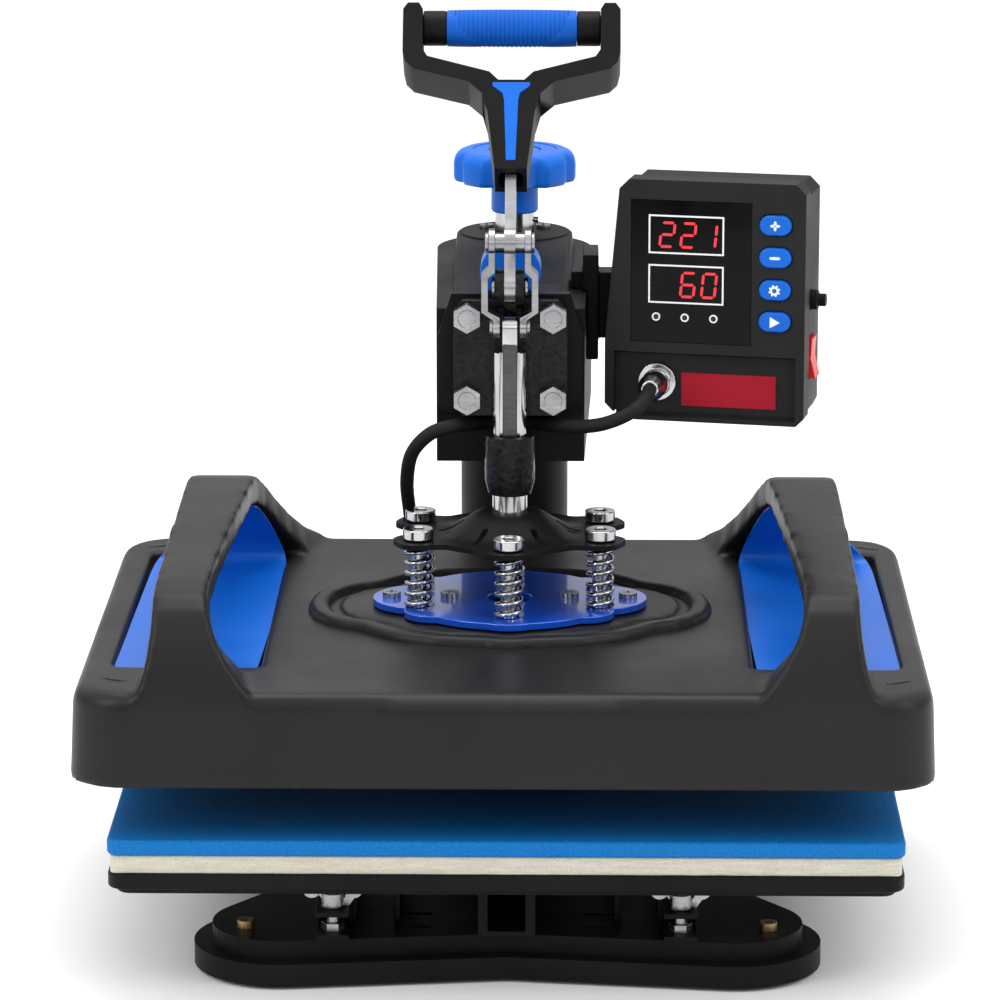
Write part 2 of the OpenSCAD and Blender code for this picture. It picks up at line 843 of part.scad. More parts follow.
module label_plate() color([0.75, 0.04, 0.06]) {
  at_box() slab(38, 86, 5.4, 6, 7, 24);
}

module key(z) {
  at_box() translate([86, 0, z]) {
    for (t = [-3, 3]) {
      translate([t, 5.5, 0]) rotate([90, 0, 0]) cylinder(h = 8, r = 5);
    }
    slab(-3, 3, -2.5, 5.5, -5, 5);
  }
}

module key_plus() color([0.1, 0.3, 0.85]) key(101.5);

module key_minus() color([0.1, 0.3, 0.85]) key(85.3);

module key_set() color([0.1, 0.3, 0.85]) key(69);

module key_start() color([0.1, 0.3, 0.85]) key(53);

module power_rocker() color([0.8, 0.03, 0.03]) {
  at_box() translate([box_w - 1, 26, 31]) rotate([90, 0, 0]) translate([0, 0, -6.5])
    linear_extrude(height = 13) polygon([[-3.4, 10], [-3.4, -10], [0, -10], [3.6, -10], [1.2, 0], [1.8, 10]]);
  // the pin that it rocks on
  at_box() translate([box_w - 2, 26 + 6.9, 31]) rotate([90, 0, 0]) cylinder(h = 13.8, r = 1.6);
}

module reset_button() color([0.1, 0.1, 0.1]) {
  at_box() translate([box_w - 3.9, 26, 60]) rotate([0, 90, 0]) {
    cylinder(h = 6.4, r = 5);
    translate([0, 0, 6.4]) cylinder(h = 4, r = 3.2);
  }
}

// the heater's cable, from the box socket behind the guide barrel and down to the cover
module heater_cable() color([0.03, 0.03, 0.03]) {
  path = [
    [68.9, 10, 264.9], [67.5, 1, 263], [60, -7, 257.5], [47, -8, 252], [33, 0, 248.5], [20, 14, 246.5], [10, 21.8, 246],
    [-10, 21.8, 246], [-20, 14, 246.5], [-29, 7, 247], [-40, 7, 243], [-49, 12, 232],
    [-52, 25, 215], [-51.5, 40, 198], [-50, 52, 182], [-47, 60, 168], [-46, 62, 157]
  ];
  for (i = [0 : len(path) - 2]) {
    limb(path[i], path[i + 1]);
  }
}

module limb(a, b) {
  d = b - a;
  translate(a) rotate([0, acos(d[2] / norm(d)), atan2(d[1], d[0])]) cylinder(h = norm(d), r = 3.5, $fn = 10);
}

base_plate();
rubber_feet();
foot_screws();
platen_rails();
platen_clips();
platen_studs();
wing_nut_left();
wing_nut_right();
lower_platen();
felt_board();
silicone_pad();
column();
column_flange();
flange_bolts();
swivel_nut();
arm_sleeve();
arm_beam();
arm_shroud();
arm_frame();
arm_cap();
cap_screws();
rest_bumper();
toggle_casting();
casting_bolts();
pivot_pin();
box_bracket();
box_shell();
box_back();
display_panel();
display_cells();
cable_socket();
label_plate();
heater_cable();
key_plus();
key_minus();
key_set();
key_start();
power_rocker();
reset_button();
spindle();
spindle_collar();
pressure_knob();
knob_disc();
lever_bar();
handle_moulding();
handle_inlay();
grip_core();
grip_sleeve();
link_plates();
link_rivets();
plunger_rod();
spider_plate();
spring_bolts();
spring_coils();
spring_plate();
plate_screws();
heater_cover();
cover_liners();
insulation();
heater_platen();
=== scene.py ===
import json
import math

import bmesh
import bpy
from mathutils import Matrix, Vector, noise

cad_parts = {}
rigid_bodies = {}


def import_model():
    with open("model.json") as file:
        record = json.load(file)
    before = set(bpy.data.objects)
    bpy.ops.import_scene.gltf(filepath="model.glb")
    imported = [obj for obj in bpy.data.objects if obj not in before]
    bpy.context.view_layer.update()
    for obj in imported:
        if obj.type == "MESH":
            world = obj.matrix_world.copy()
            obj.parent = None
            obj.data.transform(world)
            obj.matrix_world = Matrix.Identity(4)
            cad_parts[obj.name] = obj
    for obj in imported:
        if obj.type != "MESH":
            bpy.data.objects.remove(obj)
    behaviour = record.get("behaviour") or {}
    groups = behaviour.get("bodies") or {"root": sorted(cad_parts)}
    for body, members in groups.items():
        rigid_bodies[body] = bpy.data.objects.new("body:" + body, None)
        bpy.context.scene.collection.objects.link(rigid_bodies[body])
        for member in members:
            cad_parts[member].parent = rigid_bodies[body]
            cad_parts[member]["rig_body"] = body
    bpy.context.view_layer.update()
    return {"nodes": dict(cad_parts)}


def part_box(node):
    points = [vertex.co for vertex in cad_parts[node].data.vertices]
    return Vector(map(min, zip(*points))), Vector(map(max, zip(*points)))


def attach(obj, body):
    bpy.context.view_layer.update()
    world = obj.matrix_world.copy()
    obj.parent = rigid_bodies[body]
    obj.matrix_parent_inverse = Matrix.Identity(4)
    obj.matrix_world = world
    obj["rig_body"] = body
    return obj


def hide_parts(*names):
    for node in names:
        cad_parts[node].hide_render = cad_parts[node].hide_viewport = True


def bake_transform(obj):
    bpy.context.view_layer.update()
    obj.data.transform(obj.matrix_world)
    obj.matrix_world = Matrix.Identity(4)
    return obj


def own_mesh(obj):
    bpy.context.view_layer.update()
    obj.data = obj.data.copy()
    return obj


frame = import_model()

mm = 0.001
nodes = frame["nodes"]


# camera and cable come first

cameraSet = {"place": (0.031, -2.4197, 0.7845), "pitch": 13.33, "turn": 0.85, "lens": 180.0}

eye = bpy.data.cameras.new("eye")
eye.lens = cameraSet["lens"]
eye.sensor_width = 36
camera = bpy.data.objects.new("camera", eye)
camera.location = cameraSet["place"]
camera.rotation_euler = (math.radians(90 - cameraSet["pitch"]), 0, math.radians(cameraSet["turn"]))
bpy.context.scene.collection.objects.link(camera)
bpy.context.scene.camera = camera


# small helpers for finishes

def startFinish(name, colour, roughness, metallic=0.0):
    mat = bpy.data.materials.new(name)
    mat.use_nodes = True
    tree = mat.node_tree
    shader = tree.nodes["Principled BSDF"]
    shader.inputs["Base Color"].default_value = (*colour, 1)
    shader.inputs["Roughness"].default_value = roughness
    shader.inputs["Metallic"].default_value = metallic
    where = tree.nodes.new("ShaderNodeTexCoord")
    return mat, tree, shader, where.outputs["Object"]


def stretched(tree, where, scale):
    mapping = tree.nodes.new("ShaderNodeMapping")
    mapping.inputs["Scale"].default_value = scale
    tree.links.new(where, mapping.inputs["Vector"])
    return mapping.outputs["Vector"]


def noiseOf(tree, where, scale, detail=4.0, rough=0.55):
    tex = tree.nodes.new("ShaderNodeTexNoise")
    tex.inputs["Scale"].default_value = scale
    tex.inputs["Detail"].default_value = detail
    tex.inputs["Roughness"].default_value = rough
    tree.links.new(where, tex.inputs["Vector"])
    return tex.outputs["Fac"]


def cellsOf(tree, where, scale, kind="F1"):
    tex = tree.nodes.new("ShaderNodeTexVoronoi")
    tex.feature = kind
    tex.inputs["Scale"].default_value = scale
    tree.links.new(where, tex.inputs["Vector"])
    return tex.outputs["Distance"]


def spreadOf(tree, value, low, high, toLow, toHigh):
    node = tree.nodes.new("ShaderNodeMapRange")
    node.inputs["From Min"].default_value = low
    node.inputs["From Max"].default_value = high
    node.inputs["To Min"].default_value = toLow
    node.inputs["To Max"].default_value = toHigh
    tree.links.new(value, node.inputs["Value"])
    return node.outputs["Result"]


def mixOf(tree, factor, first, second):
    node = tree.nodes.new("ShaderNodeMix")
    node.data_type = "RGBA"
    tree.links.new(factor, node.inputs["Factor"])
    for socket, colour in ((node.inputs["A"], first), (node.inputs["B"], second)):
        if isinstance(colour, tuple):
            socket.default_value = (*colour, 1)
        else:
            tree.links.new(colour, socket)
    return node.outputs["Result"]


def tint(tree, shader, value, low, high, first, second):
    tone = mixOf(tree, spreadOf(tree, value, low, high, 0, 1), first, second)
    tree.links.new(tone, shader.inputs["Base Color"])


def gloss(tree, shader, value, low, high, least, most):
    tree.links.new(spreadOf(tree, value, low, high, least, most), shader.inputs["Roughness"])


def roughen(tree, shader, height, strength, distance, under=None):
    bump = tree.nodes.new("ShaderNodeBump")
    bump.inputs["Strength"].default_value = strength
    bump.inputs["Distance"].default_value = distance
    tree.links.new(height, bump.inputs["Height"])
    if under is not None:
        tree.links.new(under, bump.inputs["Normal"])
    tree.links.new(bump.outputs["Normal"], shader.inputs["Normal"])
    return bump.outputs["Normal"]


def shade(colour, factor):
    return tuple(min(1.0, c * factor) for c in colour)


# finishes

def mouldedPlastic(name, colour, roughness, grain=2600, depth=0.00006, mottle=0.22, shine=0.3):
    mat, tree, shader, where = startFinish(name, colour, roughness)
    cloud = noiseOf(tree, where, 16, 5)
    fine = noiseOf(tree, where, grain, 2)
    tint(tree, shader, cloud, 0.3, 0.7, shade(colour, 1 - mottle), shade(colour, 1 + mottle))
    gloss(tree, shader, cloud, 0.3, 0.7, roughness - 0.05, roughness + 0.07)
    leather = cellsOf(tree, where, grain * 0.45, "SMOOTH_F1")
    roughen(tree, shader, fine, 0.5, depth, roughen(tree, shader, leather, 0.35, depth))
    shader.inputs["Specular IOR Level"].default_value = shine
    return mat


def powderCoat(name, colour, roughness):
    mat, tree, shader, where = startFinish(name, colour, roughness)
    peel = noiseOf(tree, where, 750, 2)
    cloud = noiseOf(tree, where, 22, 4)
    tint(tree, shader, cloud, 0.35, 0.65, shade(colour, 0.8), shade(colour, 1.3))
    gloss(tree, shader, cloud, 0.3, 0.7, roughness - 0.06, roughness + 0.08)
    roughen(tree, shader, peel, 0.45, 0.00012)
    shader.inputs["Specular IOR Level"].default_value = 0.1
    return mat


def hammerPaint(name, colour):
    mat, tree, shader, where = startFinish(name, colour, 0.3)
    cells = cellsOf(tree, where, 420, "SMOOTH_F1")
    drift = noiseOf(tree, where, 160, 4)
    tint(tree, shader, cells, 0.1, 0.7, shade(colour, 0.6), shade(colour, 2.0))
    gloss(tree, shader, drift, 0.3, 0.7, 0.22, 0.42)
    roughen(tree, shader, cells, 0.8, 0.0004, roughen(tree, shader, drift, 0.6, 0.0005))
    shader.inputs["Specular IOR Level"].default_value = 0.18
    return mat


def zincPlate(name, colour, roughness):
    mat, tree, shader, where = startFinish(name, colour, roughness, 1.0)
    streak = noiseOf(tree, stretched(tree, where, (60, 60, 700)), 1, 6)
    cloud = noiseOf(tree, where, 90, 5)
    tint(tree, shader, cloud, 0.3, 0.7, shade(colour, 0.78), shade(colour, 1.12))
    gloss(tree, shader, streak, 0.3, 0.7, roughness - 0.08, roughness + 0.12)
    roughen(tree, shader, streak, 0.25, 0.00008)
    return mat


def polished(name, colour, roughness):
    mat, tree, shader, where = startFinish(name, colour, roughness, 1.0)
    turned = noiseOf(tree, stretched(tree, where, (30, 30, 2200)), 1, 3)
    smear = noiseOf(tree, where, 60, 5)
    gloss(tree, shader, smear, 0.3, 0.75, roughness - 0.04, roughness + 0.1)
    roughen(tree, shader, turned, 0.12, 0.00004)
    return mat


def siliconeFoam(name, colour):
    mat, tree, shader, where = startFinish(name, colour, 0.62)
    pores = cellsOf(tree, where, 1100)
    grain = noiseOf(tree, where, 900, 3, 0.7)
    cloud = noiseOf(tree, where, 26, 4)
    tone = mixOf(tree, spreadOf(tree, grain, 0.32, 0.68, 0, 1), shade(colour, 0.72), shade(colour, 1.22))
    aged = mixOf(tree, spreadOf(tree, cloud, 0.35, 0.8, 0, 0.3), tone, shade(colour, 0.85))
    tree.links.new(aged, shader.inputs["Base Color"])
    roughen(tree, shader, pores, 0.5, 0.00035, roughen(tree, shader, grain, 0.6, 0.0004))
    shader.inputs["Specular IOR Level"].default_value = 0.2
    shader.inputs["Subsurface Weight"].default_value = 0.05
    shader.inputs["Subsurface Scale"].default_value = 0.004
    return mat


def pressedFelt(name, colour):
    mat, tree, shader, where = startFinish(name, colour, 0.95)
    layers = noiseOf(tree, stretched(tree, where, (70, 70, 900)), 1, 6, 0.7)
    fibres = noiseOf(tree, where, 1400, 5, 0.75)
    tufts = noiseOf(tree, where, 260, 4)
    tone = mixOf(tree, spreadOf(tree, layers, 0.3, 0.7, 0, 1), shade(colour, 0.74), shade(colour, 1.12))
    tone = mixOf(tree, spreadOf(tree, fibres, 0.35, 0.75, 0, 0.45), tone, (0.93, 0.89, 0.78))
    tree.links.new(tone, shader.inputs["Base Color"])
    roughen(tree, shader, fibres, 0.9, 0.0005, roughen(tree, shader, tufts, 0.7, 0.0008))
    shader.inputs["Sheen Weight"].default_value = 0.4
    shader.inputs["Sheen Roughness"].default_value = 0.5
    return mat


def glossPaint(name, colour):
    mat, tree, shader, where = startFinish(name, colour, 0.28, 0.25)
    flake = cellsOf(tree, where, 2600)
    cloud = noiseOf(tree, where, 30, 3)
    tint(tree, shader, cloud, 0.3, 0.7, shade(colour, 0.85), shade(colour, 1.2))
    gloss(tree, shader, flake, 0, 0.6, 0.22, 0.34)
    roughen(tree, shader, noiseOf(tree, where, 500, 2), 0.15, 0.00008)
    shader.inputs["Coat Weight"].default_value = 0.9
    shader.inputs["Coat Roughness"].default_value = 0.06
    return mat


def darkWindow(name):
    mat, tree, shader, where = startFinish(name, (0.0025, 0.0025, 0.003), 0.09)
    haze = noiseOf(tree, where, 45, 4)
    gloss(tree, shader, haze, 0.3, 0.8, 0.05, 0.16)
    shader.inputs["Specular IOR Level"].default_value = 0.12
    return mat


def printedInk(name, colour, roughness=0.5):
    mat, tree, shader, where = startFinish(name, colour, roughness)
    speck = noiseOf(tree, where, 1800, 2)
    tint(tree, shader, speck, 0.3, 0.7, shade(colour, 0.9), shade(colour, 1.08))
    shader.inputs["Specular IOR Level"].default_value = 0.2
    return mat


def litDigits(name, colour):
    mat, tree, shader, where = startFinish(name, shade(colour, 0.5), 0.4)
    glow = noiseOf(tree, where, 300, 2)
    tree.links.new(mixOf(tree, spreadOf(tree, glow, 0.3, 0.7, 0, 1), shade(colour, 0.8), colour),
                   shader.inputs["Emission Color"])
    shader.inputs["Emission Strength"].default_value = 0.55
    return mat


def woolMat(name, colour):
    mat, tree, shader, where = startFinish(name, colour, 0.95)
    tree.links.new(mixOf(tree, noiseOf(tree, where, 500, 6, 0.7), shade(colour, 0.8), shade(colour, 1.1)),
                   shader.inputs["Base Color"])
    roughen(tree, shader, noiseOf(tree, where, 700, 5, 0.7), 0.7, 0.0006)
    return mat


finishes = {
    "blackSteel": powderCoat("blackSteel", (0.0055, 0.0055, 0.0058), 0.42),
    "blackCasting": hammerPaint("blackCasting", (0.005, 0.005, 0.0053)),
    "blackPlastic": mouldedPlastic("blackPlastic", (0.0075, 0.0075, 0.0078), 0.44, shine=0.08),
    "coverPlastic": mouldedPlastic("coverPlastic", (0.0125, 0.0125, 0.0128), 0.36, 2200, 0.00008, 0.14, 0.17),
    "greyPlastic": mouldedPlastic("greyPlastic", (0.0165, 0.0165, 0.017), 0.5, shine=0.12),
    "bluePlastic": mouldedPlastic("bluePlastic", (0.003, 0.115, 0.55), 0.36, 1800, 0.00003, 0.1, 0.2),
    "gripRubber": mouldedPlastic("gripRubber", (0.003, 0.09, 0.45), 0.5, 1500, 0.00006, 0.12, 0.15),
    "linerPlastic": mouldedPlastic("linerPlastic", (0.002, 0.115, 0.56), 0.36, 1500, 0.00003, 0.08),
    "redPlastic": mouldedPlastic("redPlastic", (0.62, 0.015, 0.015), 0.3, 1500, 0.00002, 0.06),
    "redLabel": printedInk("redLabel", (0.34, 0.003, 0.016), 0.5),
    "whiteInk": printedInk("whiteInk", (0.82, 0.82, 0.82)),
    "greyInk": printedInk("greyInk", (0.3, 0.3, 0.31)),
    "zinc": zincPlate("zinc", (0.36, 0.36, 0.37), 0.27),
    "chrome": polished("chrome", (0.5, 0.5, 0.51), 0.14),
    "darkSteel": zincPlate("darkSteel", (0.09, 0.09, 0.095), 0.3),
    "brass": zincPlate("brass", (0.55, 0.38, 0.17), 0.35),
    "bronze": zincPlate("bronze", (0.5, 0.36, 0.2), 0.4),
    "rubber": mouldedPlastic("rubber", (0.011, 0.011, 0.011), 0.6, 1400, 0.00008, shine=0.15),
    "bluePaint": glossPaint("bluePaint", (0.001, 0.08, 0.6)),
    "silicone": siliconeFoam("silicone", (0.0, 0.145, 0.44)),
    "felt": pressedFelt("felt", (0.5, 0.47, 0.38)),
    "window": darkWindow("window"),
    "wool": woolMat("wool", (0.6, 0.57, 0.5)),
    "platenCoat": powderCoat("platenCoat", (0.02, 0.02, 0.021), 0.33),
    "redLight": litDigits("redLight", (1.0, 0.03, 0.05)),
    "lampGlass": mouldedPlastic("lampGlass", (0.02, 0.02, 0.02), 0.2, 900, 0.00002),
}
print("finishes made:", len(finishes))


# small helpers for meshes

def edgeShading(bm, limit=34):
    for face in bm.faces:
        face.smooth = True
    for edge in bm.edges:
        edge.smooth = edge.calc_face_angle(0.0) < math.radians(limit)


def makePiece(name, bm, finish, limit=34):
    edgeShading(bm, limit)
    mesh = bpy.data.meshes.new(name)
    bm.to_mesh(mesh)
    bm.free()
    mesh.materials.append(finishes[finish])
    piece = bpy.data.objects.new(name, mesh)
    bpy.context.scene.collection.objects.link(piece)
    return piece


def bakeModifiers(piece):
    bpy.context.view_layer.update()
    evaluated = piece.evaluated_get(bpy.context.evaluated_depsgraph_get())
    mesh = bpy.data.meshes.new_from_object(evaluated)
    piece.modifiers.clear()
    piece.data = mesh


def addBevel(piece, width, segments=2, angle=32):
    mod = piece.modifiers.new("edges", "BEVEL")
    mod.width = width
    mod.segments = segments
    mod.limit_method = "ANGLE"
    mod.angle_limit = math.radians(angle)
    mod.use_clamp_overlap = True
    mod.harden_normals = True


def uprightEdges(bm, least):
    # the edges that rise more than this many millimetres
    return [e for e in bm.edges if abs(e.verts[0].co.z - e.verts[1].co.z) > least * mm]


def roundEdges(bm, edges, radius, segments):
    bmesh.ops.bevel(bm, geom=edges, offset=radius * mm, segments=segments, profile=0.5,
                    affect="EDGES", material=-1)


def faceUp(bm):
    bmesh.ops.recalc_face_normals(bm, faces=bm.faces)
    if sum(f.normal.z for f in bm.faces) < 0:
        bmesh.ops.reverse_faces(bm, faces=bm.faces)


def growRing(bm, loop):
    # a new ring on an open loop of edges: its vertices and its edges
    grown = bmesh.ops.extrude_edge_only(bm, edges=loop)["geom"]
    fresh = [g for g in grown if isinstance(g, bmesh.types.BMVert)]
    edges = [g for g in grown if isinstance(g, bmesh.types.BMEdge) and g.is_boundary]
    return fresh, [e for e in edges if all(v in fresh for v in e.verts)]


def mergedCopy(node):
    bm = bmesh.new()
    bm.from_mesh(nodes[node].data)
    bmesh.ops.remove_doubles(bm, verts=bm.verts, dist=3e-6)
    bmesh.ops.dissolve_limit(bm, angle_limit=math.radians(0.6), verts=bm.verts, edges=bm.edges)
    return bm


def softened(node, width, finish, segments=2):
    # a copy of a CAD node with its edges eased
    piece = makePiece(node + "_piece", mergedCopy(node), finish)
    addBevel(piece, width * mm, segments)
    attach(piece, nodes[node]["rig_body"])
    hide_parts(node)


def place(piece, body, replaced=()):
    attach(piece, body)
    if replaced:
        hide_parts(*replaced)


def smoothPath(points, perLeg=10):
    # points along a Catmull-Rom curve through the given ones
    pts = [Vector(p) for p in points]
    pts = [pts[0] * 2 - pts[1]] + pts + [pts[-1] * 2 - pts[-2]]
    out = []
    for a, b, c, d in zip(pts, pts[1:], pts[2:], pts[3:]):
        for k in range(perLeg):
            t = k / perLeg
            bend = (2 * a - 5 * b + 4 * c - d) * t * t
            turn = (3 * b - a - 3 * c + d) * t ** 3
            out.append(0.5 * (2 * b + (c - a) * t + bend + turn))
    out.append(pts[-2])
    return out


def tubeMesh(name, paths, radius, finish, around=12):
    # round tubes along the paths, as one mesh piece
    line = bpy.data.curves.new(name, "CURVE")
    line.dimensions = "3D"
    line.bevel_depth = radius
    line.bevel_resolution = max(1, around // 4 - 1)
    line.use_fill_caps = True
    for path in paths:
        spline = line.splines.new("POLY")
        spline.points.add(len(path) - 1)
        for point, spot in zip(spline.points, path):
            point.co = (*spot, 1)
    holder = bpy.data.objects.new(name + "_line", line)
    bpy.context.scene.collection.objects.link(holder)
    bpy.context.view_layer.update()
    mesh = bpy.data.meshes.new_from_object(holder.evaluated_get(bpy.context.evaluated_depsgraph_get()))
    bpy.data.objects.remove(holder)
    bm = bmesh.new()
    bm.from_mesh(mesh)
    return makePiece(name, bm, finish, 50)


def spinProfile(name, profile, axisPoint, axis, across, finish, steps):
    # profile is (radius, along) pairs; it is spun about the axis
    bm = bmesh.new()
    axis, across = Vector(axis), Vector(across)
    ring = [bm.verts.new(Vector(axisPoint) + across * r + axis * h) for r, h in profile]
    edges = [bm.edges.new(pair) for pair in zip(ring, ring[1:])]
    bmesh.ops.spin(bm, geom=ring + edges, cent=axisPoint, axis=axis, angle=math.tau, steps=steps,
                   use_merge=True)
    bmesh.ops.remove_doubles(bm, verts=bm.verts, dist=1e-6)
    bmesh.ops.recalc_face_normals(bm, faces=bm.faces)
    return makePiece(name, bm, finish)


# heater cable

cable = {
    "route": [
        (68.9, 10, 264.9), (67.5, 1, 263), (60, -7, 257.5), (47, -8, 252), (33, 0, 248.5), (20, 14, 246.5),
        (10, 21.8, 246), (-10, 21.8, 246), (-20, 14, 246.5), (-29, 7, 247), (-40, 7, 243), (-49, 12, 232),
        (-52, 25, 215), (-51.5, 40, 198), (-50, 52, 182), (-47, 60, 168), (-46, 62, 157),
    ],
    "radius": 3.5,
}


def makeCable():
    route = smoothPath([Vector(p) * mm for p in cable["route"]], 8)
    tube = tubeMesh("heater_lead", [route], cable["radius"] * mm, "rubber", 20)
    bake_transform(tube)
    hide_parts("heater_cable")


makeCable()


# carried-over parts with eased edges

eased = {
    "base_plate": (1.6, "blackSteel", "black_steel", 3),
    "rubber_feet": (1.0, "rubber", "rubber_black", 2),
    "foot_screws": (0.4, "brass", "brass_screw", 2),
    "platen_rails": (0.7, "blackSteel", "black_steel", 2),
    "platen_clips": (0.6, "blackSteel", "black_steel", 2),
    "platen_studs": (0.3, "zinc", "zinc_steel", 2),
    "wing_nut_left": (0.7, "zinc", "zinc_steel", 3),
    "wing_nut_right": (0.7, "zinc", "zinc_steel", 3),
    "lower_platen": (2.2, "blackSteel", "black_steel", 3),
    "column": (0.8, "blackSteel", "black_steel", 2),
    "column_flange": (1.0, "blackSteel", "black_steel", 2),
    "flange_bolts": (0.7, "zinc", "zinc_steel", 2),
    "arm_sleeve": (0.8, "blackCasting", "black_casting", 2),
    "arm_beam": (1.2, "blackSteel", "black_steel", 2),
    "arm_shroud": (2.5, "blackPlastic", "black_plastic", 3),
    "arm_frame": (1.6, "blackPlastic", "black_plastic", 3),
    "arm_cap": (1.6, "blackPlastic", "black_plastic", 3),
    "cap_screws": (0.3, "zinc", "zinc_steel", 2),
    "rest_bumper": (2.4, "bluePlastic", "blue_plastic", 4),
    "toggle_casting": (1.2, "blackCasting", "black_casting", 3),
    "casting_bolts": (0.7, "zinc", "zinc_steel", 2),
    "pivot_pin": (0.7, "zinc", "zinc_steel", 2),
    "box_bracket": (0.8, "blackSteel", "black_steel", 2),
    "box_shell": (1.1, "greyPlastic", "grey_plastic", 3),
    "box_back": (1.4, "blackPlastic", "black_plastic", 3),
    "display_panel": (0.3, "window", "gloss_black", 2),
    "label_plate": (0.2, "redLabel", "red_label", 2),
    "cable_socket": (0.6, "chrome", "chrome_steel", 2),
    "key_plus": (1.1, "bluePlastic", "blue_plastic", 3),
    "key_minus": (1.1, "bluePlastic", "blue_plastic", 3),
    "key_set": (1.1, "bluePlastic", "blue_plastic", 3),
    "key_start": (1.1, "bluePlastic", "blue_plastic", 3),
    "power_rocker": (0.8, "redPlastic", "red_plastic", 2),
    "reset_button": (0.6, "blackPlastic", "black_plastic", 2),
    "spindle_collar": (0.6, "chrome", "chrome_steel", 2),
    "lever_bar": (0.8, "zinc", "zinc_steel", 2),
    "handle_moulding": (1.5, "blackPlastic", "black_plastic", 3),
    "handle_inlay": (0.4, "bluePlastic", "blue_plastic", 2),
    "grip_core": (0.8, "blackPlastic", "black_plastic", 2),
    "link_plates": (0.9, "zinc", "zinc_steel", 3),
    "link_rivets": (0.8, "zinc", "zinc_steel", 3),
    "spring_bolts": (0.9, "chrome", "chrome_steel", 3),
    "spring_plate": (0.6, "bluePaint", "blue_paint", 3),
    "plate_screws": (0.4, "zinc", "zinc_steel", 2),
    "heater_platen": (1.2, "platenCoat", "coated_aluminium", 2),
}
for node, (width, finish, slot, segments) in eased.items():
    softened(node, width, finish, segments)

kept = {
    "swivel_nut": "bronze", "spindle": "zinc", "knob_disc": "bluePlastic", "insulation": "wool",
    "display_cells": "whiteInk",
}
for node, finish in kept.items():
    mesh = nodes[node].data
    mesh.materials.clear()
    mesh.materials.append(finishes[finish])
print("carried-over parts finished")


# pads

pads = {
    # corner radius, edge radius and side waviness of each pad
    "mat": (6, 1.6, 0.12),
    "felt": (3, 0.8, 0.45),
    "cell": 6.0,
    "fill": 1.0,
}


def padBlock(name, node, finish, slot, corner, edge, wave):
    low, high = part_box(node)
    bm = bmesh.new()
    bmesh.ops.create_cube(bm, size=1.0)
    bmesh.ops.scale(bm, verts=bm.verts, vec=high - low)
    bmesh.ops.translate(bm, verts=bm.verts, vec=(low + high) / 2)
    roundEdges(bm, uprightEdges(bm, 0.5 * (high.z - low.z) / mm), corner, 6)
    rims = [e for e in bm.edges if e.calc_face_angle(0) > math.radians(60)]
    roundEdges(bm, rims, edge, 3)
    for axis, low1, high1 in ((0, low.x, high.x), (1, low.y, high.y)):
        steps = int((high1 - low1) / (pads["cell"] * mm))
        for k in range(1, steps):
            cut = Vector((0, 0, 0))
            cut[axis] = low1 + (high1 - low1) * k / steps
            normal = Vector((0, 0, 0))
            normal[axis] = 1
            everything = bm.verts[:] + bm.edges[:] + bm.faces[:]
            bmesh.ops.bisect_plane(bm, geom=everything, plane_co=cut, plane_no=normal)
    middle = (low + high) / 2
    for vert in bm.verts:
        out = Vector((vert.co.x - middle.x, vert.co.y - middle.y, 0))
        atSide = max(abs(out.x) / (high.x - low.x), abs(out.y) / (high.y - low.y)) > 0.49
        if atSide:
            push = noise.noise(vert.co * 70) + 0.6 * noise.noise(vert.co * 260)
            vert.co -= out.normalized() * (abs(push) * wave * mm)
    piece = makePiece(name, bm, finish, 50)
    place(piece, nodes[node]["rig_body"], (node,))


padBlock("silicone_mat", "silicone_pad", "silicone", "silicone_blue", *pads["mat"])
padBlock("felt_sheet", "felt_board", "felt", "felt_cream", *pads["felt"])
print("pads made")


# heater cover

cover = {
    "low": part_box("heater_cover")[0], "high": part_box("heater_cover")[1],
    "top": 154.0, "corner": 24, "insideCorner": 20, "rim": 7, "wall": 6.5, "voxel": 1.6, "draft": 0.992,
    # the block under each strap and the flat plate at the front: X, Y and Z spans
    "shoulder": ((108, 196), (-128, 138), (142, 152.8)),
    "frontPlate": ((-55, 53), (-160.8, -152), (112, 149)),
    # the strap's stations: outer Y and Z, inner Y and Z, left and right X
    "strap": [
        (-159.5, 122, -138, 122, -178, -116), (-159.5, 148, -130, 144, -176, -118),
        (-158.5, 157, -119, 152, -173, -123), (-156.5, 167, -119, 160, -170, -130),
        (-153, 179, -122.5, 168, -168, -136.5), (-147.5, 191, -122, 176, -167, -140),
        (-138, 198, -118, 182, -167, -141), (-121, 201, -110, 186, -167, -141),
        (-80, 203.2, -80, 188.6, -166.5, -139.5), (-40, 205, -40, 190.5, -166.5, -137.5),
        (30, 208, 30, 193.5, -166, -133), (58, 208.5, 56, 193.8, -165.5, -131),
        (76, 206, 71, 191, -165.5, -130), (92, 198.5, 83, 186, -165, -127),
        (108, 186.5, 95, 177, -165, -122), (124, 174, 106, 166, -166, -115.5),
        (140, 163.5, 114, 157, -168, -108.5), (156, 156, 120, 150, -172, -101),
        (158.5, 146, 130, 138, -174, -100),
    ],
    "well": {"x": (-188, -118.5), "y": (-106, 121), "floor": 146, "ceiling": 155.5, "corner": 4},
    # how far the ends stand out at the left and the right, from this X on
    "swell": {"from": 185, "over": 18, "left": 4.4, "right": -1.0},
    "smoothings": 9, "triangles": 170000,
}


def blockBmesh(x, y, z):
    bm = bmesh.new()
    bmesh.ops.create_cube(bm, size=1.0)
    spans = (x, y, z)
    bmesh.ops.scale(bm, verts=bm.verts, vec=[(high - low) * mm for low, high in spans])
    bmesh.ops.translate(bm, verts=bm.verts, vec=[(low + high) / 2 * mm for low, high in spans])
    return bm


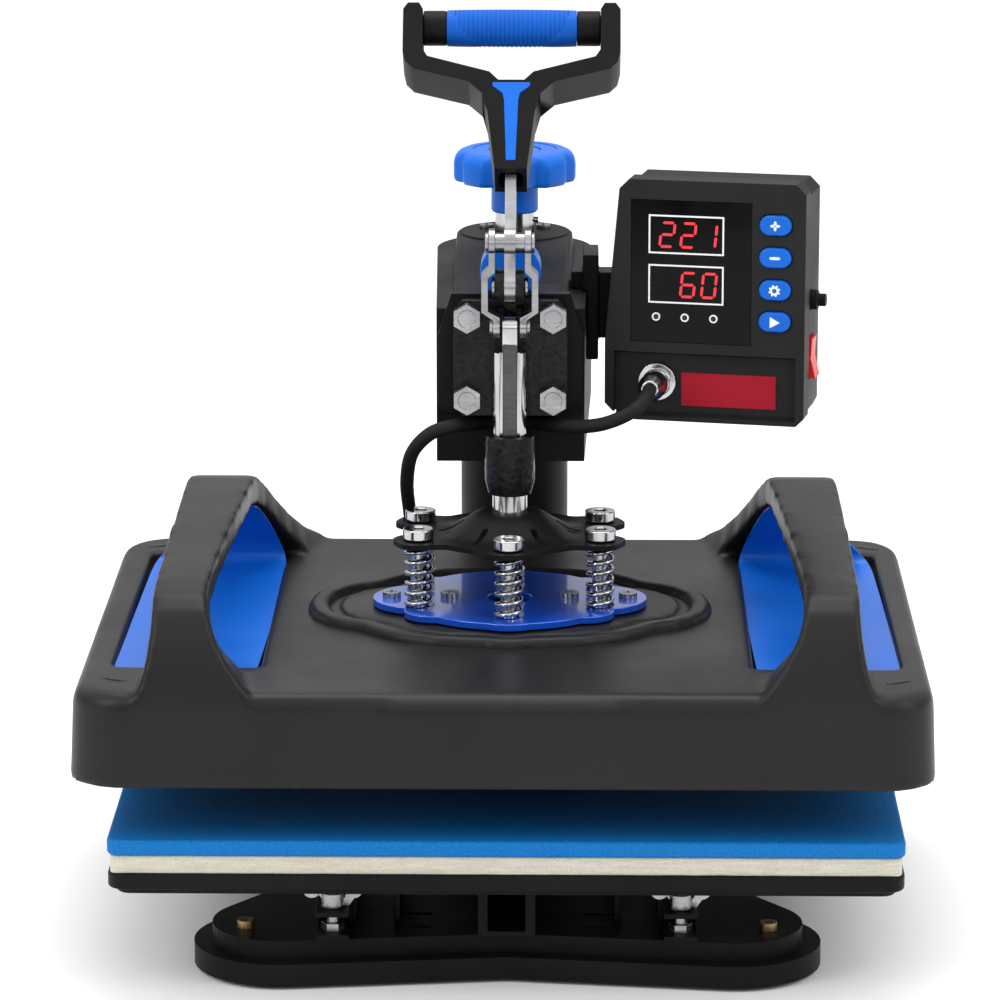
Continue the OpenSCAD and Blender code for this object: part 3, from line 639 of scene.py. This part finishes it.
def addBmesh(into, other):
    mesh = bpy.data.meshes.new("part")
    other.to_mesh(mesh)
    other.free()
    into.from_mesh(mesh)
    bpy.data.meshes.remove(mesh)


def coverBody():
    low, high = cover["low"], cover["high"]
    bm = blockBmesh((low.x / mm, high.x / mm), (low.y / mm, high.y / mm), (low.z / mm, cover["top"]))
    for vert in bm.verts:
        if vert.co.z > low.z + 0.02:
            vert.co.x *= cover["draft"]
            vert.co.y *= cover["draft"]
    roundEdges(bm, uprightEdges(bm, 20), cover["corner"], 10)
    top = [e for e in bm.edges if min(v.co.z for v in e.verts) > cover["top"] * mm - 1e-5]
    roundEdges(bm, top, cover["rim"], 5)
    return bm


def strapBmesh(side):
    bm = bmesh.new()
    stations = []
    for yo, zo, yi, zi, xl, xr in cover["strap"]:
        stations.append([Vector((side * -x, y, z)) * mm for x, y, z in
                         ((xl, yo, zo), (xr, yo, zo), (xr, yi, zi), (xl, yi, zi))])
    face = bm.faces.new([bm.verts.new(p) for p in stations[0]])
    for station in stations[1:]:
        grown = bmesh.ops.extrude_face_region(bm, geom=[face])
        face = [g for g in grown["geom"] if isinstance(g, bmesh.types.BMFace)][0]
        for vert, spot in zip(face.verts, station):
            vert.co = spot
    bmesh.ops.holes_fill(bm, edges=bm.edges, sides=4)
    bmesh.ops.recalc_face_normals(bm, faces=bm.faces)
    return bm


def subtract(piece, cutter):
    mod = piece.modifiers.new("cut", "BOOLEAN")
    mod.operation = "DIFFERENCE"
    mod.solver = "EXACT"
    mod.object = cutter
    bakeModifiers(piece)
    bpy.data.objects.remove(cutter)


def skinned(piece):
    mod = piece.modifiers.new("skin", "REMESH")
    mod.mode = "VOXEL"
    mod.voxel_size = cover["voxel"] * mm
    bakeModifiers(piece)


def makeCover():
    body = makePiece("cover_body", coverBody(), "coverPlastic")
    low, high = cover["low"], cover["high"]
    wall = cover["wall"]
    inside = blockBmesh((low.x / mm + wall, high.x / mm - wall), (low.y / mm + wall, high.y / mm - wall),
                        (low.z / mm - 5, cover["top"] - wall))
    roundEdges(inside, uprightEdges(inside, 20), cover["insideCorner"], 8)
    subtract(body, makePiece("cutter", inside, "coverPlastic"))
    whole = bmesh.new()
    whole.from_mesh(body.data)
    bpy.data.objects.remove(body)
    for side in (-1, 1):
        addBmesh(whole, strapBmesh(side))
        across, along, tall = cover["shoulder"]
        addBmesh(whole, blockBmesh(sorted(side * x for x in across), along, tall))
    addBmesh(whole, blockBmesh(*cover["frontPlate"]))
    piece = makePiece("heater_cover_shell", whole, "coverPlastic", 60)
    skinned(piece)
    well = cover["well"]
    for side in (-1, 1):    # the pockets stay below the straps
        pocket = blockBmesh(sorted(side * x for x in well["x"]), well["y"], (well["floor"], well["ceiling"]))
        roundEdges(pocket, uprightEdges(pocket, 5), well["corner"], 4)
        subtract(piece, makePiece("cutter", pocket, "coverPlastic"))
    skinned(piece)
    bm = bmesh.new()
    bm.from_mesh(piece.data)
    steady = [v for v in bm.verts if v.co.z > (cover["low"].z + 0.004)]
    for _ in range(cover["smoothings"]):
        bmesh.ops.smooth_vert(bm, verts=steady, factor=0.5, use_axis_x=True, use_axis_y=True, use_axis_z=True)
    swell = cover["swell"]
    for vert in bm.verts:    # the moulding is a little wider at its left
        x = vert.co.x / mm
        if abs(x) > swell["from"]:
            share = (abs(x) - swell["from"]) / swell["over"]
            vert.co.x += math.copysign((swell["left"] if x < 0 else swell["right"]) * share, x) * mm
    bm.to_mesh(piece.data)
    bm.free()
    thin = piece.modifiers.new("thin", "DECIMATE")
    triangles = sum(len(p.vertices) - 2 for p in piece.data.polygons)
    thin.ratio = min(1.0, cover["triangles"] / max(1, triangles))
    bakeModifiers(piece)
    for polygon in piece.data.polygons:
        polygon.use_smooth = True
    piece.data.materials.clear()
    piece.data.materials.append(finishes["coverPlastic"])
    place(piece, "heater", ("heater_cover",))
    print("cover faces", len(piece.data.polygons))


makeCover()


# blue liners in the hand wells

liner = {
    # the hand gap's outline: Y, Z, left X, right X
    "course": [
        (-106.5, 152.3, -189, -120), (-60, 151.8, -188.5, -119), (0, 151.4, -188, -118),
        (60, 152, -187, -117.5), (92, 152.8, -186, -117.5), (103, 156, -183, -118),
        (102.5, 163, -176, -120.5), (97.5, 170, -170, -123), (89.5, 179, -166, -126.5),
        (80.5, 186.4, -164.5, -130), (73, 189.6, -164, -131.5),
    ],
    "sag": 1.6, "thick": 1.0,
}


def makeLiner(side):
    course = liner["course"]
    spots = smoothPath([(y, z, 0) for y, z, _, _ in course], 6)
    edges = smoothPath([(l, r, 0) for _, _, l, r in course], 6)
    bm = bmesh.new()
    bmesh.ops.create_grid(bm, x_segments=16, y_segments=len(spots) - 1, size=1.0)
    for vert in bm.verts:
        u = (vert.co.x + 1) / 2
        row = min(len(spots) - 1, round((vert.co.y + 1) / 2 * (len(spots) - 1)))
        left, right = edges[row].x, edges[row].y
        sag = liner["sag"] * math.sin(math.pi * u) * (1 if spots[row].y < 156 else 0.2)
        vert.co = Vector((-side * (left + (right - left) * u), spots[row].x, spots[row].y - sag)) * mm
    faceUp(bm)
    bmesh.ops.solidify(bm, geom=bm.faces[:], thickness=liner["thick"] * mm)
    piece = makePiece("hand_liner_right" if side > 0 else "hand_liner_left", bm, "linerPlastic", 60)
    place(piece, "heater", ("cover_liners",))


for side in (-1, 1):
    makeLiner(side)
print("liners made")


# rim round the spring plate, painted shade for the corner slots, lead grommet

rim = {
    "base": 153.4,
    # outer radius by angle from the X axis, in degrees
    "reach": [(0, 101), (10, 100), (18, 96.8), (24, 92.6), (28.5, 87.6), (32, 85.2), (36, 84.8), (45, 84),
              (60, 80.3), (74, 76.6), (81, 75.4), (85, 76.6), (90, 77)],
    "middle": 3.5,
    "drawnAt": 100,    # the ring is spun at this radius, then takes the reach
    # offset from the outer edge and height
    "profile": [(0, 0), (-0.3, 2.4), (-1.6, 4.4), (-3.8, 5.1), (-7.4, 5.1), (-9.4, 4.3), (-10.8, 2.6),
                (-11.6, 1.4), (-15.6, 1.3), (-16.6, 2.6), (-18.4, 3.6), (-30, 3.7), (-40, 3.7), (-41, 0)],
}


def rimReach(angle):
    turned = math.degrees(abs(angle))
    turned = 180 - turned if turned > 90 else turned
    for (a0, r0), (a1, r1) in zip(rim["reach"], rim["reach"][1:]):
        if turned <= a1:
            t = (turned - a0) / (a1 - a0)
            return r0 + (r1 - r0) * t * t * (3 - 2 * t)
    return rim["reach"][-1][1]


def makeRim():
    bm = bmesh.new()
    ring = [bm.verts.new(Vector((rim["drawnAt"] + r, 0, rim["base"] + h)) * mm) for r, h in rim["profile"]]
    edges = [bm.edges.new(pair) for pair in zip(ring, ring[1:])]
    bmesh.ops.spin(bm, geom=ring + edges, cent=(0, 0, 0), axis=(0, 0, 1), angle=math.tau, steps=288,
                   use_merge=True)
    bmesh.ops.remove_doubles(bm, verts=bm.verts, dist=1e-6)
    for vert in bm.verts:
        angle = math.atan2(vert.co.y, vert.co.x)
        inward = rim["drawnAt"] - math.hypot(vert.co.x, vert.co.y) / mm
        radius = (sum(rimReach(angle + math.radians(k)) for k in (-1, 0, 1)) / 3 - inward) * mm
        vert.co.x, vert.co.y = radius * math.cos(angle), radius * math.sin(angle) + rim["middle"] * mm
    faceUp(bm)
    place(makePiece("cover_rim", bm, "coverPlastic", 60), "heater")


fittings = {
    # near-black patches near the cover's corners, a painted shade standing in for shallow slots: half sizes,
    # X, top, then Y and turn of each
    "slotSize": (7, 2.2, 0.5), "slotShadeX": 186, "slotShadeTop": 154.0, "slotShadeSpots": [(-131, 0.5), (134, -0.5)],
    "grommetFoot": (-46, 62, 153.6),
    "grommet": [(3.7, 0), (3.7, 9), (4.6, 9.6), (6.4, 3), (8.6, 1.2), (9, 0), (3.7, 0)],
}


def makeSlotShadePatches():
    for side in (-1, 1):
        for y, turn in fittings["slotShadeSpots"]:
            # a flat glossy near-black ellipsoid: painted shade where the slot's recess would be, with no
            # recess cut
            bm = bmesh.new()
            bmesh.ops.create_uvsphere(bm, u_segments=24, v_segments=10, radius=1.0)
            bmesh.ops.scale(bm, verts=bm.verts, vec=Vector(fittings["slotSize"]) * mm)
            bmesh.ops.rotate(bm, verts=bm.verts, matrix=Matrix.Rotation(side * turn, 3, "Z"))
            middle = Vector((side * fittings["slotShadeX"], y, fittings["slotShadeTop"])) * mm
            bmesh.ops.translate(bm, verts=bm.verts, vec=middle)
            name = "painted_slot_shade_" + ("right" if side > 0 else "left") + ("_front" if y < 0 else "_rear")
            place(makePiece(name, bm, "window"), "heater")


makeRim()
makeSlotShadePatches()
grommet = spinProfile("lead_grommet", fittings["grommet"], Vector(fittings["grommetFoot"]) * mm,
                      (0, 0, mm), (mm, 0, 0), "rubber", 48)
place(grommet, "heater")
print("cover fittings made")


# springs

spring = {"spots": [(-45, -20), (45, -20), (0, -41), (-45, 20), (45, 20), (0, 41)],
          "low": 161.6, "high": 192.9, "radius": 6.0, "wire": 1.15, "turns": 6.5}


def makeSprings():
    paths = []
    for x, y in spring["spots"]:
        path = []
        steps = int(spring["turns"] * 20)
        low, high = spring["low"] + spring["wire"], spring["high"] - spring["wire"]
        for k in range(steps + 1):
            t = k / steps
            # the end turns lie closed, the rest are even
            climb = min(1, max(0, (t - 0.07) / 0.86))
            angle = math.tau * spring["turns"] * t
            across = spring["radius"] * math.cos(angle)
            along = spring["radius"] * math.sin(angle)
            path.append(Vector((x + across, y + along, low + (high - low) * climb)) * mm)
        paths.append(path)
    coils = tubeMesh("coil_springs", paths, spring["wire"] * mm, "chrome", 12)
    place(coils, "plunger", ("spring_coils",))
    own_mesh(coils)


makeSprings()


# spider plate

spider = {
    "base": 193.0, "dome": 10.5, "domeFoot": 34, "domeRun": 22, "thick": 2.6, "waist": 43.0, "lobe": 11.5,
    # the rings inwards, as shares of the outline
    "rings": [1.0, 0.93, 0.85, 0.76, 0.66, 0.57, 0.49, 0.42, 0.36, 0.3, 0.24, 0.19],
    "slotSize": (13, 3.2, 40), "slotAt": 29, "slotCorner": 1.5,
}


def spiderReach(angle):
    # outer radius of the star at an angle
    reach = spider["waist"]
    for x, y in spring["spots"]:
        spot = math.hypot(x, y)
        off = abs((angle - math.atan2(y, x) + math.pi) % math.tau - math.pi)
        fade = math.exp(-((off * spot / spider["lobe"]) ** 4) * 0.55)
        reach += (spot + spider["lobe"] - spider["waist"]) * fade
    return reach


def makeSpider():
    bm = bmesh.new()
    bmesh.ops.create_circle(bm, segments=180, radius=1.0)
    loop = bm.edges[:]
    for outer, inner in zip(spider["rings"], spider["rings"][1:]):
        fresh, loop = growRing(bm, loop)
        bmesh.ops.scale(bm, verts=fresh, vec=(inner / outer,) * 3)
    for vert in bm.verts:
        flat = vert.co.length
        angle = math.atan2(vert.co.y, vert.co.x)
        radius = flat * spiderReach(angle)
        if flat < 0.6:    # the star turns into a circle near the middle
            star = max(0, (flat - 0.45) / 0.15)
            radius = flat * (spider["waist"] + (spiderReach(angle) - spider["waist"]) * star)
        lift = max(0.0, min(1.0, (spider["domeFoot"] - radius) / spider["domeRun"]))
        height = spider["base"] + spider["thick"] + spider["dome"] * lift * lift * (3 - 2 * lift)
        vert.co = Vector((radius * math.cos(angle), radius * math.sin(angle), height)) * mm
    faceUp(bm)
    bmesh.ops.solidify(bm, geom=bm.faces[:], thickness=spider["thick"] * mm)
    bmesh.ops.recalc_face_normals(bm, faces=bm.faces)
    piece = makePiece("spider_star", bm, "blackSteel", 50)
    cutters = bmesh.new()
    for k in range(6):
        slot = bmesh.new()
        bmesh.ops.create_cube(slot, size=1.0)
        bmesh.ops.scale(slot, verts=slot.verts, vec=Vector(spider["slotSize"]) * mm)
        roundEdges(slot, uprightEdges(slot, 10), spider["slotCorner"], 4)
        bmesh.ops.translate(slot, verts=slot.verts, vec=(spider["slotAt"] * mm, 0, spider["base"] * mm))
        bmesh.ops.rotate(slot, verts=slot.verts, matrix=Matrix.Rotation(math.radians(60 * k), 3, "Z"))
        addBmesh(cutters, slot)
    subtract(piece, makePiece("cutter", cutters, "blackSteel"))
    bm = bmesh.new()
    bm.from_mesh(piece.data)
    edgeShading(bm, 40)
    bm.to_mesh(piece.data)
    bm.free()
    addBevel(piece, 0.5 * mm, 2, 40)
    place(piece, "plunger", ("spider_plate",))


makeSpider()
print("springs and spider made")


# arm cover's hump, slotted plunger

hump = {
    "centre": 195, "steps": 39,
    # radius and height of the round end, at its top and at its foot
    "round": [(30.5, 311.4), (31.5, 303)],
    "front": [(30, 172, 311.4), (27, 62, 304.6), (31, 165, 303), (29.5, 48, 303), (24, 50, 303.6)],
}
# X, Y and Z spans of the rod's slot and of the tang in it
plunger = {
    "slot": ((-5.2, 5.2), (-9.5, -4.2), (240, 288)),
    "tang": ((-3.55, 3.55), (-6.4, -4.1), (241, 291)),
}


def makeHump():
    bm = bmesh.new()
    spots = []
    for k in range(hump["steps"] + 1):
        angle = math.pi * k / hump["steps"]
        for radius, z in hump["round"]:
            spots.append((radius * math.cos(angle), hump["centre"] + radius * math.sin(angle), z))
    for x, y, z in hump["front"]:
        spots += [(x, y, z), (-x, y, z)]
    for spot in spots:
        bm.verts.new(Vector(spot) * mm)
    bmesh.ops.convex_hull(bm, input=bm.verts)
    bmesh.ops.dissolve_limit(bm, angle_limit=math.radians(2), verts=bm.verts, edges=bm.edges)
    piece = makePiece("arm_hump", bm, "blackPlastic")
    addBevel(piece, 1.6 * mm, 3, 15)
    place(piece, "arm")


def makePlunger():
    # the rod is slotted at the front, with the flat tang let into it
    bm = mergedCopy("plunger_rod")
    piece = makePiece("slotted_rod", bm, "chrome")
    subtract(piece, makePiece("cutter", blockBmesh(*plunger["slot"]), "chrome"))
    addBevel(piece, 0.5 * mm, 2)
    place(piece, "plunger", ("plunger_rod",))
    piece = makePiece("rod_tang", blockBmesh(*plunger["tang"]), "darkSteel")
    addBevel(piece, 0.6 * mm, 2)
    place(piece, "plunger")


makeHump()
makePlunger()
print("arm cover's hump and plunger made")


# knob

knob = {
    "centre": 195, "low": 339.0, "radius": 32.3, "fingers": 8, "depth": 3.2,
    # height, share of the radius, share of the finger dents
    "stations": [
        (0.0, 0.37, 0.0), (0.0, 0.93, 0.9), (0.5, 0.975, 1.0), (1.6, 0.995, 1.0), (3.2, 1.0, 1.0),
        (9, 1.0, 1.0), (11.5, 0.99, 0.85), (13.6, 0.965, 0.6), (15.2, 0.925, 0.35), (16.4, 0.87, 0.15),
        (16.9, 0.82, 0.05), (17, 0.76, 0.0), (17, 0.69, 0.0), (15.7, 0.68, 0.0), (15.7, 0.2, 0.0),
    ],
    # radius and height up the hub
    "hub": [(6.2, 322.6), (11.7, 322.6), (12.4, 323.5), (12.4, 337.6), (12.9, 338.8), (14, 339.4)],
}


def makeKnob():
    bm = bmesh.new()
    bmesh.ops.create_circle(bm, segments=256, radius=1.0)
    loop = bm.edges[:]
    rings = [bm.verts[:]]
    for _ in knob["stations"][1:]:
        fresh, loop = growRing(bm, loop)
        rings.append(fresh)
    for ring, (rise, size, cut) in zip(rings, knob["stations"]):
        for vert in ring:
            angle = math.atan2(vert.co.y, vert.co.x)
            wave = 0.5 - 0.5 * math.cos(knob["fingers"] * angle)
            dent = knob["depth"] * cut * max(0.0, (wave - 0.45) / 0.55) ** 1.5
            radius = knob["radius"] * size - dent
            y = knob["centre"] + radius * math.sin(angle)
            vert.co = Vector((radius * math.cos(angle), y, knob["low"] + rise)) * mm
    bmesh.ops.recalc_face_normals(bm, faces=bm.faces)
    piece = makePiece("scalloped_knob", bm, "bluePlastic", 50)
    place(piece, "knob", ("pressure_knob",))
    hub = spinProfile("knob_hub", knob["hub"], (0, knob["centre"] * mm, 0), (0, 0, mm), (mm, 0, 0),
                      "bluePlastic", 64)
    place(hub, "knob")


makeKnob()


# grip sleeve

grip = {
    "pivotHeight": 319, "lean": 34, "along": 140, "setBack": -2,
    "half": 32.5, "radius": 9.1, "endRadius": 9.0, "bore": 6.2, "endBand": 4,
    "ribs": 25, "ribDepth": 0.75, "swell": 0.35, "stripDepth": 0.25, "stripHalf": 22,
}


def leverPoint(x, y, z):
    # a point of the open lever's own frame, in the whole object's frame
    lean = math.radians(grip["lean"])
    rise = grip["pivotHeight"] - y * math.sin(lean) + z * math.cos(lean)
    return Vector((x, y * math.cos(lean) + z * math.sin(lean), rise)) * mm


def makeGrip():
    bm = bmesh.new()
    half, ribs = grip["half"], grip["ribs"]
    stations = [(-half, grip["bore"]), (-half, grip["endRadius"])]
    ribbed = half - grip["endBand"]
    count = ribs * 8
    for k in range(count + 1):
        stations.append((-ribbed + 2 * ribbed * k / count, grip["radius"]))
    stations += [(half, grip["endRadius"]), (half, grip["bore"])]
    profile = [bm.verts.new((x * mm, 0, r * mm)) for x, r in stations]
    edges = [bm.edges.new(pair) for pair in zip(profile, profile[1:])]
    bmesh.ops.spin(bm, geom=profile + edges, cent=(0, 0, 0), axis=(1, 0, 0), angle=math.tau, steps=72,
                   use_merge=True)
    bmesh.ops.remove_doubles(bm, verts=bm.verts, dist=1e-6)
    pitch = 2 * ribbed / ribs
    for vert in bm.verts:
        x = vert.co.x / mm
        radius = math.hypot(vert.co.y, vert.co.z) / mm
        if radius < 8.8:
            continue
        around = math.atan2(vert.co.y, vert.co.z)    # 0 at the top
        swell = grip["swell"] * (1 - (x / half) ** 2)
        arch = 1 - (abs(x) / ribbed) ** 6 * 0.75    # the ribs end in an arch
        inside = 0.62 < abs(around) < 0.62 + 2.3 * arch and abs(x) < ribbed - 0.2
        rib = 0.5 + 0.5 * math.cos(math.tau * (x / pitch))
        groove = -grip["ribDepth"] * (1 - rib) ** 1.5 if inside else 0.0
        if abs(around) < 0.34 and abs(x) < grip["stripHalf"]:    # a small textured strip on top
            weave = (0.5 + 0.5 * math.cos(x * math.tau / 1.2)) * (0.5 + 0.5 * math.cos(around * 42))
            groove = -grip["stripDepth"] * weave
        grown = (radius + swell + groove) / radius
        vert.co.y *= grown
        vert.co.z *= grown
    bmesh.ops.recalc_face_normals(bm, faces=bm.faces)
    for vert in bm.verts:
        vert.co = leverPoint(vert.co.x / mm, grip["setBack"] + vert.co.y / mm, grip["along"] + vert.co.z / mm)
    place(makePiece("ribbed_grip", bm, "gripRubber", 60), "handle", ("grip_sleeve",))


makeGrip()
print("knob and grip made")


# control box face

boxFace = {
    "corner": (47, 32, 246), "turn": -12,
    # X and Z of the keys' marks; front and back of the marks and of the lit parts
    "keyX": 86, "plusZ": 101.5, "minusZ": 85.3, "setZ": 69, "startZ": 53,
    "mark": (-2.62, -2.3), "gear": (-2.6, -2.3), "gearHub": (-2.7, -2.3),
    "lit": (0.2, 0.38), "lens": (0.15, 0.39),
    "digitsRight": 52.6, "upperZ": 94.6, "lowerZ": 69.6,
    "lampX": (26, 40.5, 55), "lampZ": 53, "lampRadius": 1.3,
    "digitTall": 12.0, "digitWide": 6.6, "digitPitch": 10.6, "digitSlant": 0.1, "stroke": 1.35,
}


def boxPoint(x, y, z):
    # a point of the control box's own frame, in the whole object's frame
    turn = math.radians(boxFace["turn"])
    cx, cy, cz = boxFace["corner"]
    across = x * math.cos(turn) - y * math.sin(turn)
    along = x * math.sin(turn) + y * math.cos(turn)
    return Vector((cx + across, cy + along, cz + z)) * mm


def flatShapes(name, outlines, depths, finish, body="arm"):
    # thin raised shapes on the box's face; each outline is a list of (x, z)
    front, back = depths
    bm = bmesh.new()
    for outline in outlines:
        face = bm.faces.new([bm.verts.new((x, front, z)) for x, z in outline])
        grown = bmesh.ops.extrude_face_region(bm, geom=[face])
        fresh = [g for g in grown["geom"] if isinstance(g, bmesh.types.BMVert)]
        bmesh.ops.translate(bm, verts=fresh, vec=(0, back - front, 0))
    bmesh.ops.recalc_face_normals(bm, faces=bm.faces)
    for vert in bm.verts:
        vert.co = boxPoint(*vert.co)
    place(makePiece(name, bm, finish), body)


def barOutline(x, z, long, wide, upright, slant=0.0):
    # a bar with pointed ends; slant leans its top to the right
    tip, end = wide / 2, long / 2
    points = [(-end + tip, -tip), (end - tip, -tip), (end, 0), (end - tip, tip), (-end + tip, tip), (-end, 0)]
    if upright:
        points = [(-across, along) for along, across in points]
    return [(x + px + slant * pz, z + pz) for px, pz in points]


segmentSpots = {"a": (0, 1, False), "g": (0, 0, False), "d": (0, -1, False),
                "f": (-1, 0.5, True), "b": (1, 0.5, True), "e": (-1, -0.5, True), "c": (1, -0.5, True)}
digitSegments = {"0": "abcdef", "1": "bc", "2": "abged", "6": "afgedc"}


def digitOutlines(text, middle):
    tall, wide, slant = boxFace["digitTall"], boxFace["digitWide"], boxFace["digitSlant"]
    outlines = []
    for k, mark in enumerate(reversed(text)):
        x0 = boxFace["digitsRight"] - k * boxFace["digitPitch"]
        for segment, (sx, sz, upright) in segmentSpots.items():
            if segment not in digitSegments[mark]:
                continue
            x = x0 + sx * wide / 2 + slant * sz * tall / 2
            z = middle + sz * tall / 2
            long = (tall / 2 if upright else wide) * 0.9
            outlines.append(barOutline(x, z, long, boxFace["stroke"], upright, slant))
    return outlines


def ringOutline(x, z, radius, count=28):
    turns = [math.tau * k / count for k in range(count)]
    return [(x + radius * math.cos(turn), z + radius * math.sin(turn)) for turn in turns]


def gearOutline(x, z, inner, outer, teeth):
    points = []
    for k in range(teeth * 4):
        radius = outer if k % 4 in (1, 2) else inner
        angle = math.tau * k / (teeth * 4)
        points.append((x + radius * math.cos(angle), z + radius * math.sin(angle)))
    return points


def makeFace():
    keyX, plusZ, minusZ = boxFace["keyX"], boxFace["plusZ"], boxFace["minusZ"]
    setZ, startZ = boxFace["setZ"], boxFace["startZ"]
    lenses = [ringOutline(x, boxFace["lampZ"], boxFace["lampRadius"]) for x in boxFace["lampX"]]
    plus = [barOutline(keyX, plusZ, 5.2, 1.3, False), barOutline(keyX, plusZ, 5.2, 1.3, True)]
    minus = [barOutline(keyX, minusZ, 5.6, 1.4, False)]
    start = [[(keyX - 2.1, startZ - 2.8), (keyX - 2.1, startZ + 2.8), (keyX + 2.9, startZ)]]
    gear, hub = [gearOutline(keyX, setZ, 2.2, 3.0, 8)], [ringOutline(keyX, setZ, 1.15)]
    upper, lower = digitOutlines("221", boxFace["upperZ"]), digitOutlines("60", boxFace["lowerZ"])
    flatShapes("digits_upper", upper, boxFace["lit"], "redLight")
    flatShapes("digits_lower", lower, boxFace["lit"], "redLight")
    flatShapes("lamp_lenses", lenses, boxFace["lens"], "lampGlass")
    flatShapes("mark_plus", plus, boxFace["mark"], "whiteInk", "plus")
    flatShapes("mark_minus", minus, boxFace["mark"], "whiteInk", "minus")
    flatShapes("mark_set", gear, boxFace["gear"], "whiteInk", "set")
    flatShapes("mark_set_hub", hub, boxFace["gearHub"], "bluePlastic", "set")
    flatShapes("mark_start", start, boxFace["mark"], "whiteInk", "start")


makeFace()
print("control face made")


# lights and floor

def addLight(name, spot, aim, size, power):
    lamp = bpy.data.lights.new(name, "AREA")
    lamp.shape = "RECTANGLE"
    lamp.size, lamp.size_y = size
    lamp.energy = power
    holder = bpy.data.objects.new(name, lamp)
    holder.location = spot
    holder.rotation_euler = (Vector(aim) - Vector(spot)).to_track_quat("-Z", "Y").to_euler()
    bpy.context.scene.collection.objects.link(holder)


addLight("left_softbox", (-1.7, -1.3, 1.3), (0, 0, 0.2), (0.7, 1.4), 16)
addLight("right_softbox", (1.8, -1.0, 1.2), (0, 0, 0.2), (0.7, 1.4), 12)
addLight("top_softbox", (0, 0.3, 2.0), (0, 0, 0.1), (1.4, 1.0), 18)
addLight("front_fill", (0.1, -2.8, 1.2), (0, 0, 0.2), (0.9, 0.6), 3)


def addCard(name, spot, width, height, turn):
    # a dark card out of the frame, for edges in the bright metal
    card = bmesh.new()
    bmesh.ops.create_grid(card, x_segments=1, y_segments=1, size=1.0)
    bmesh.ops.scale(card, verts=card.verts, vec=(width / 2, height / 2, 1))
    bmesh.ops.rotate(card, verts=card.verts, matrix=Matrix.Rotation(math.pi / 2, 3, "X"))
    bmesh.ops.rotate(card, verts=card.verts, matrix=Matrix.Rotation(turn, 3, "Z"))
    bmesh.ops.translate(card, verts=card.verts, vec=spot)
    piece = makePiece(name, card, "darkCard")
    piece.visible_camera = False
    piece.visible_diffuse = False
    piece.visible_shadow = False


finishes["darkCard"] = printedInk("darkCard", (0.01, 0.01, 0.01), 0.9)
addCard("left_card", (-0.75, -1.5, 0.45), 0.5, 0.85, math.radians(-35))
addCard("right_card", (0.8, -1.5, 0.45), 0.5, 0.85, math.radians(35))

bm = bmesh.new()
bmesh.ops.create_grid(bm, x_segments=1, y_segments=1, size=9.0)
finishes["floor"] = printedInk("floor", (0.86, 0.86, 0.86), 0.8)
floor = makePiece("floor", bm, "floor")

print("lights and floor made")

world = bpy.data.worlds.new("pale")
world.use_nodes = True
sky = world.node_tree
skyWhere = sky.nodes.new("ShaderNodeTexCoord")
skyParts = sky.nodes.new("ShaderNodeSeparateXYZ")
sky.links.new(skyWhere.outputs["Generated"], skyParts.inputs["Vector"])
skyStrength = spreadOf(sky, skyParts.outputs["Z"], 0.05, 0.8, 0.42, 1.45)
sky.links.new(skyStrength, sky.nodes["Background"].inputs["Strength"])
sky.nodes["Background"].inputs["Color"].default_value = (1, 1, 1, 1)
bpy.context.scene.world = world
bpy.context.scene.view_settings.view_transform = "Standard"
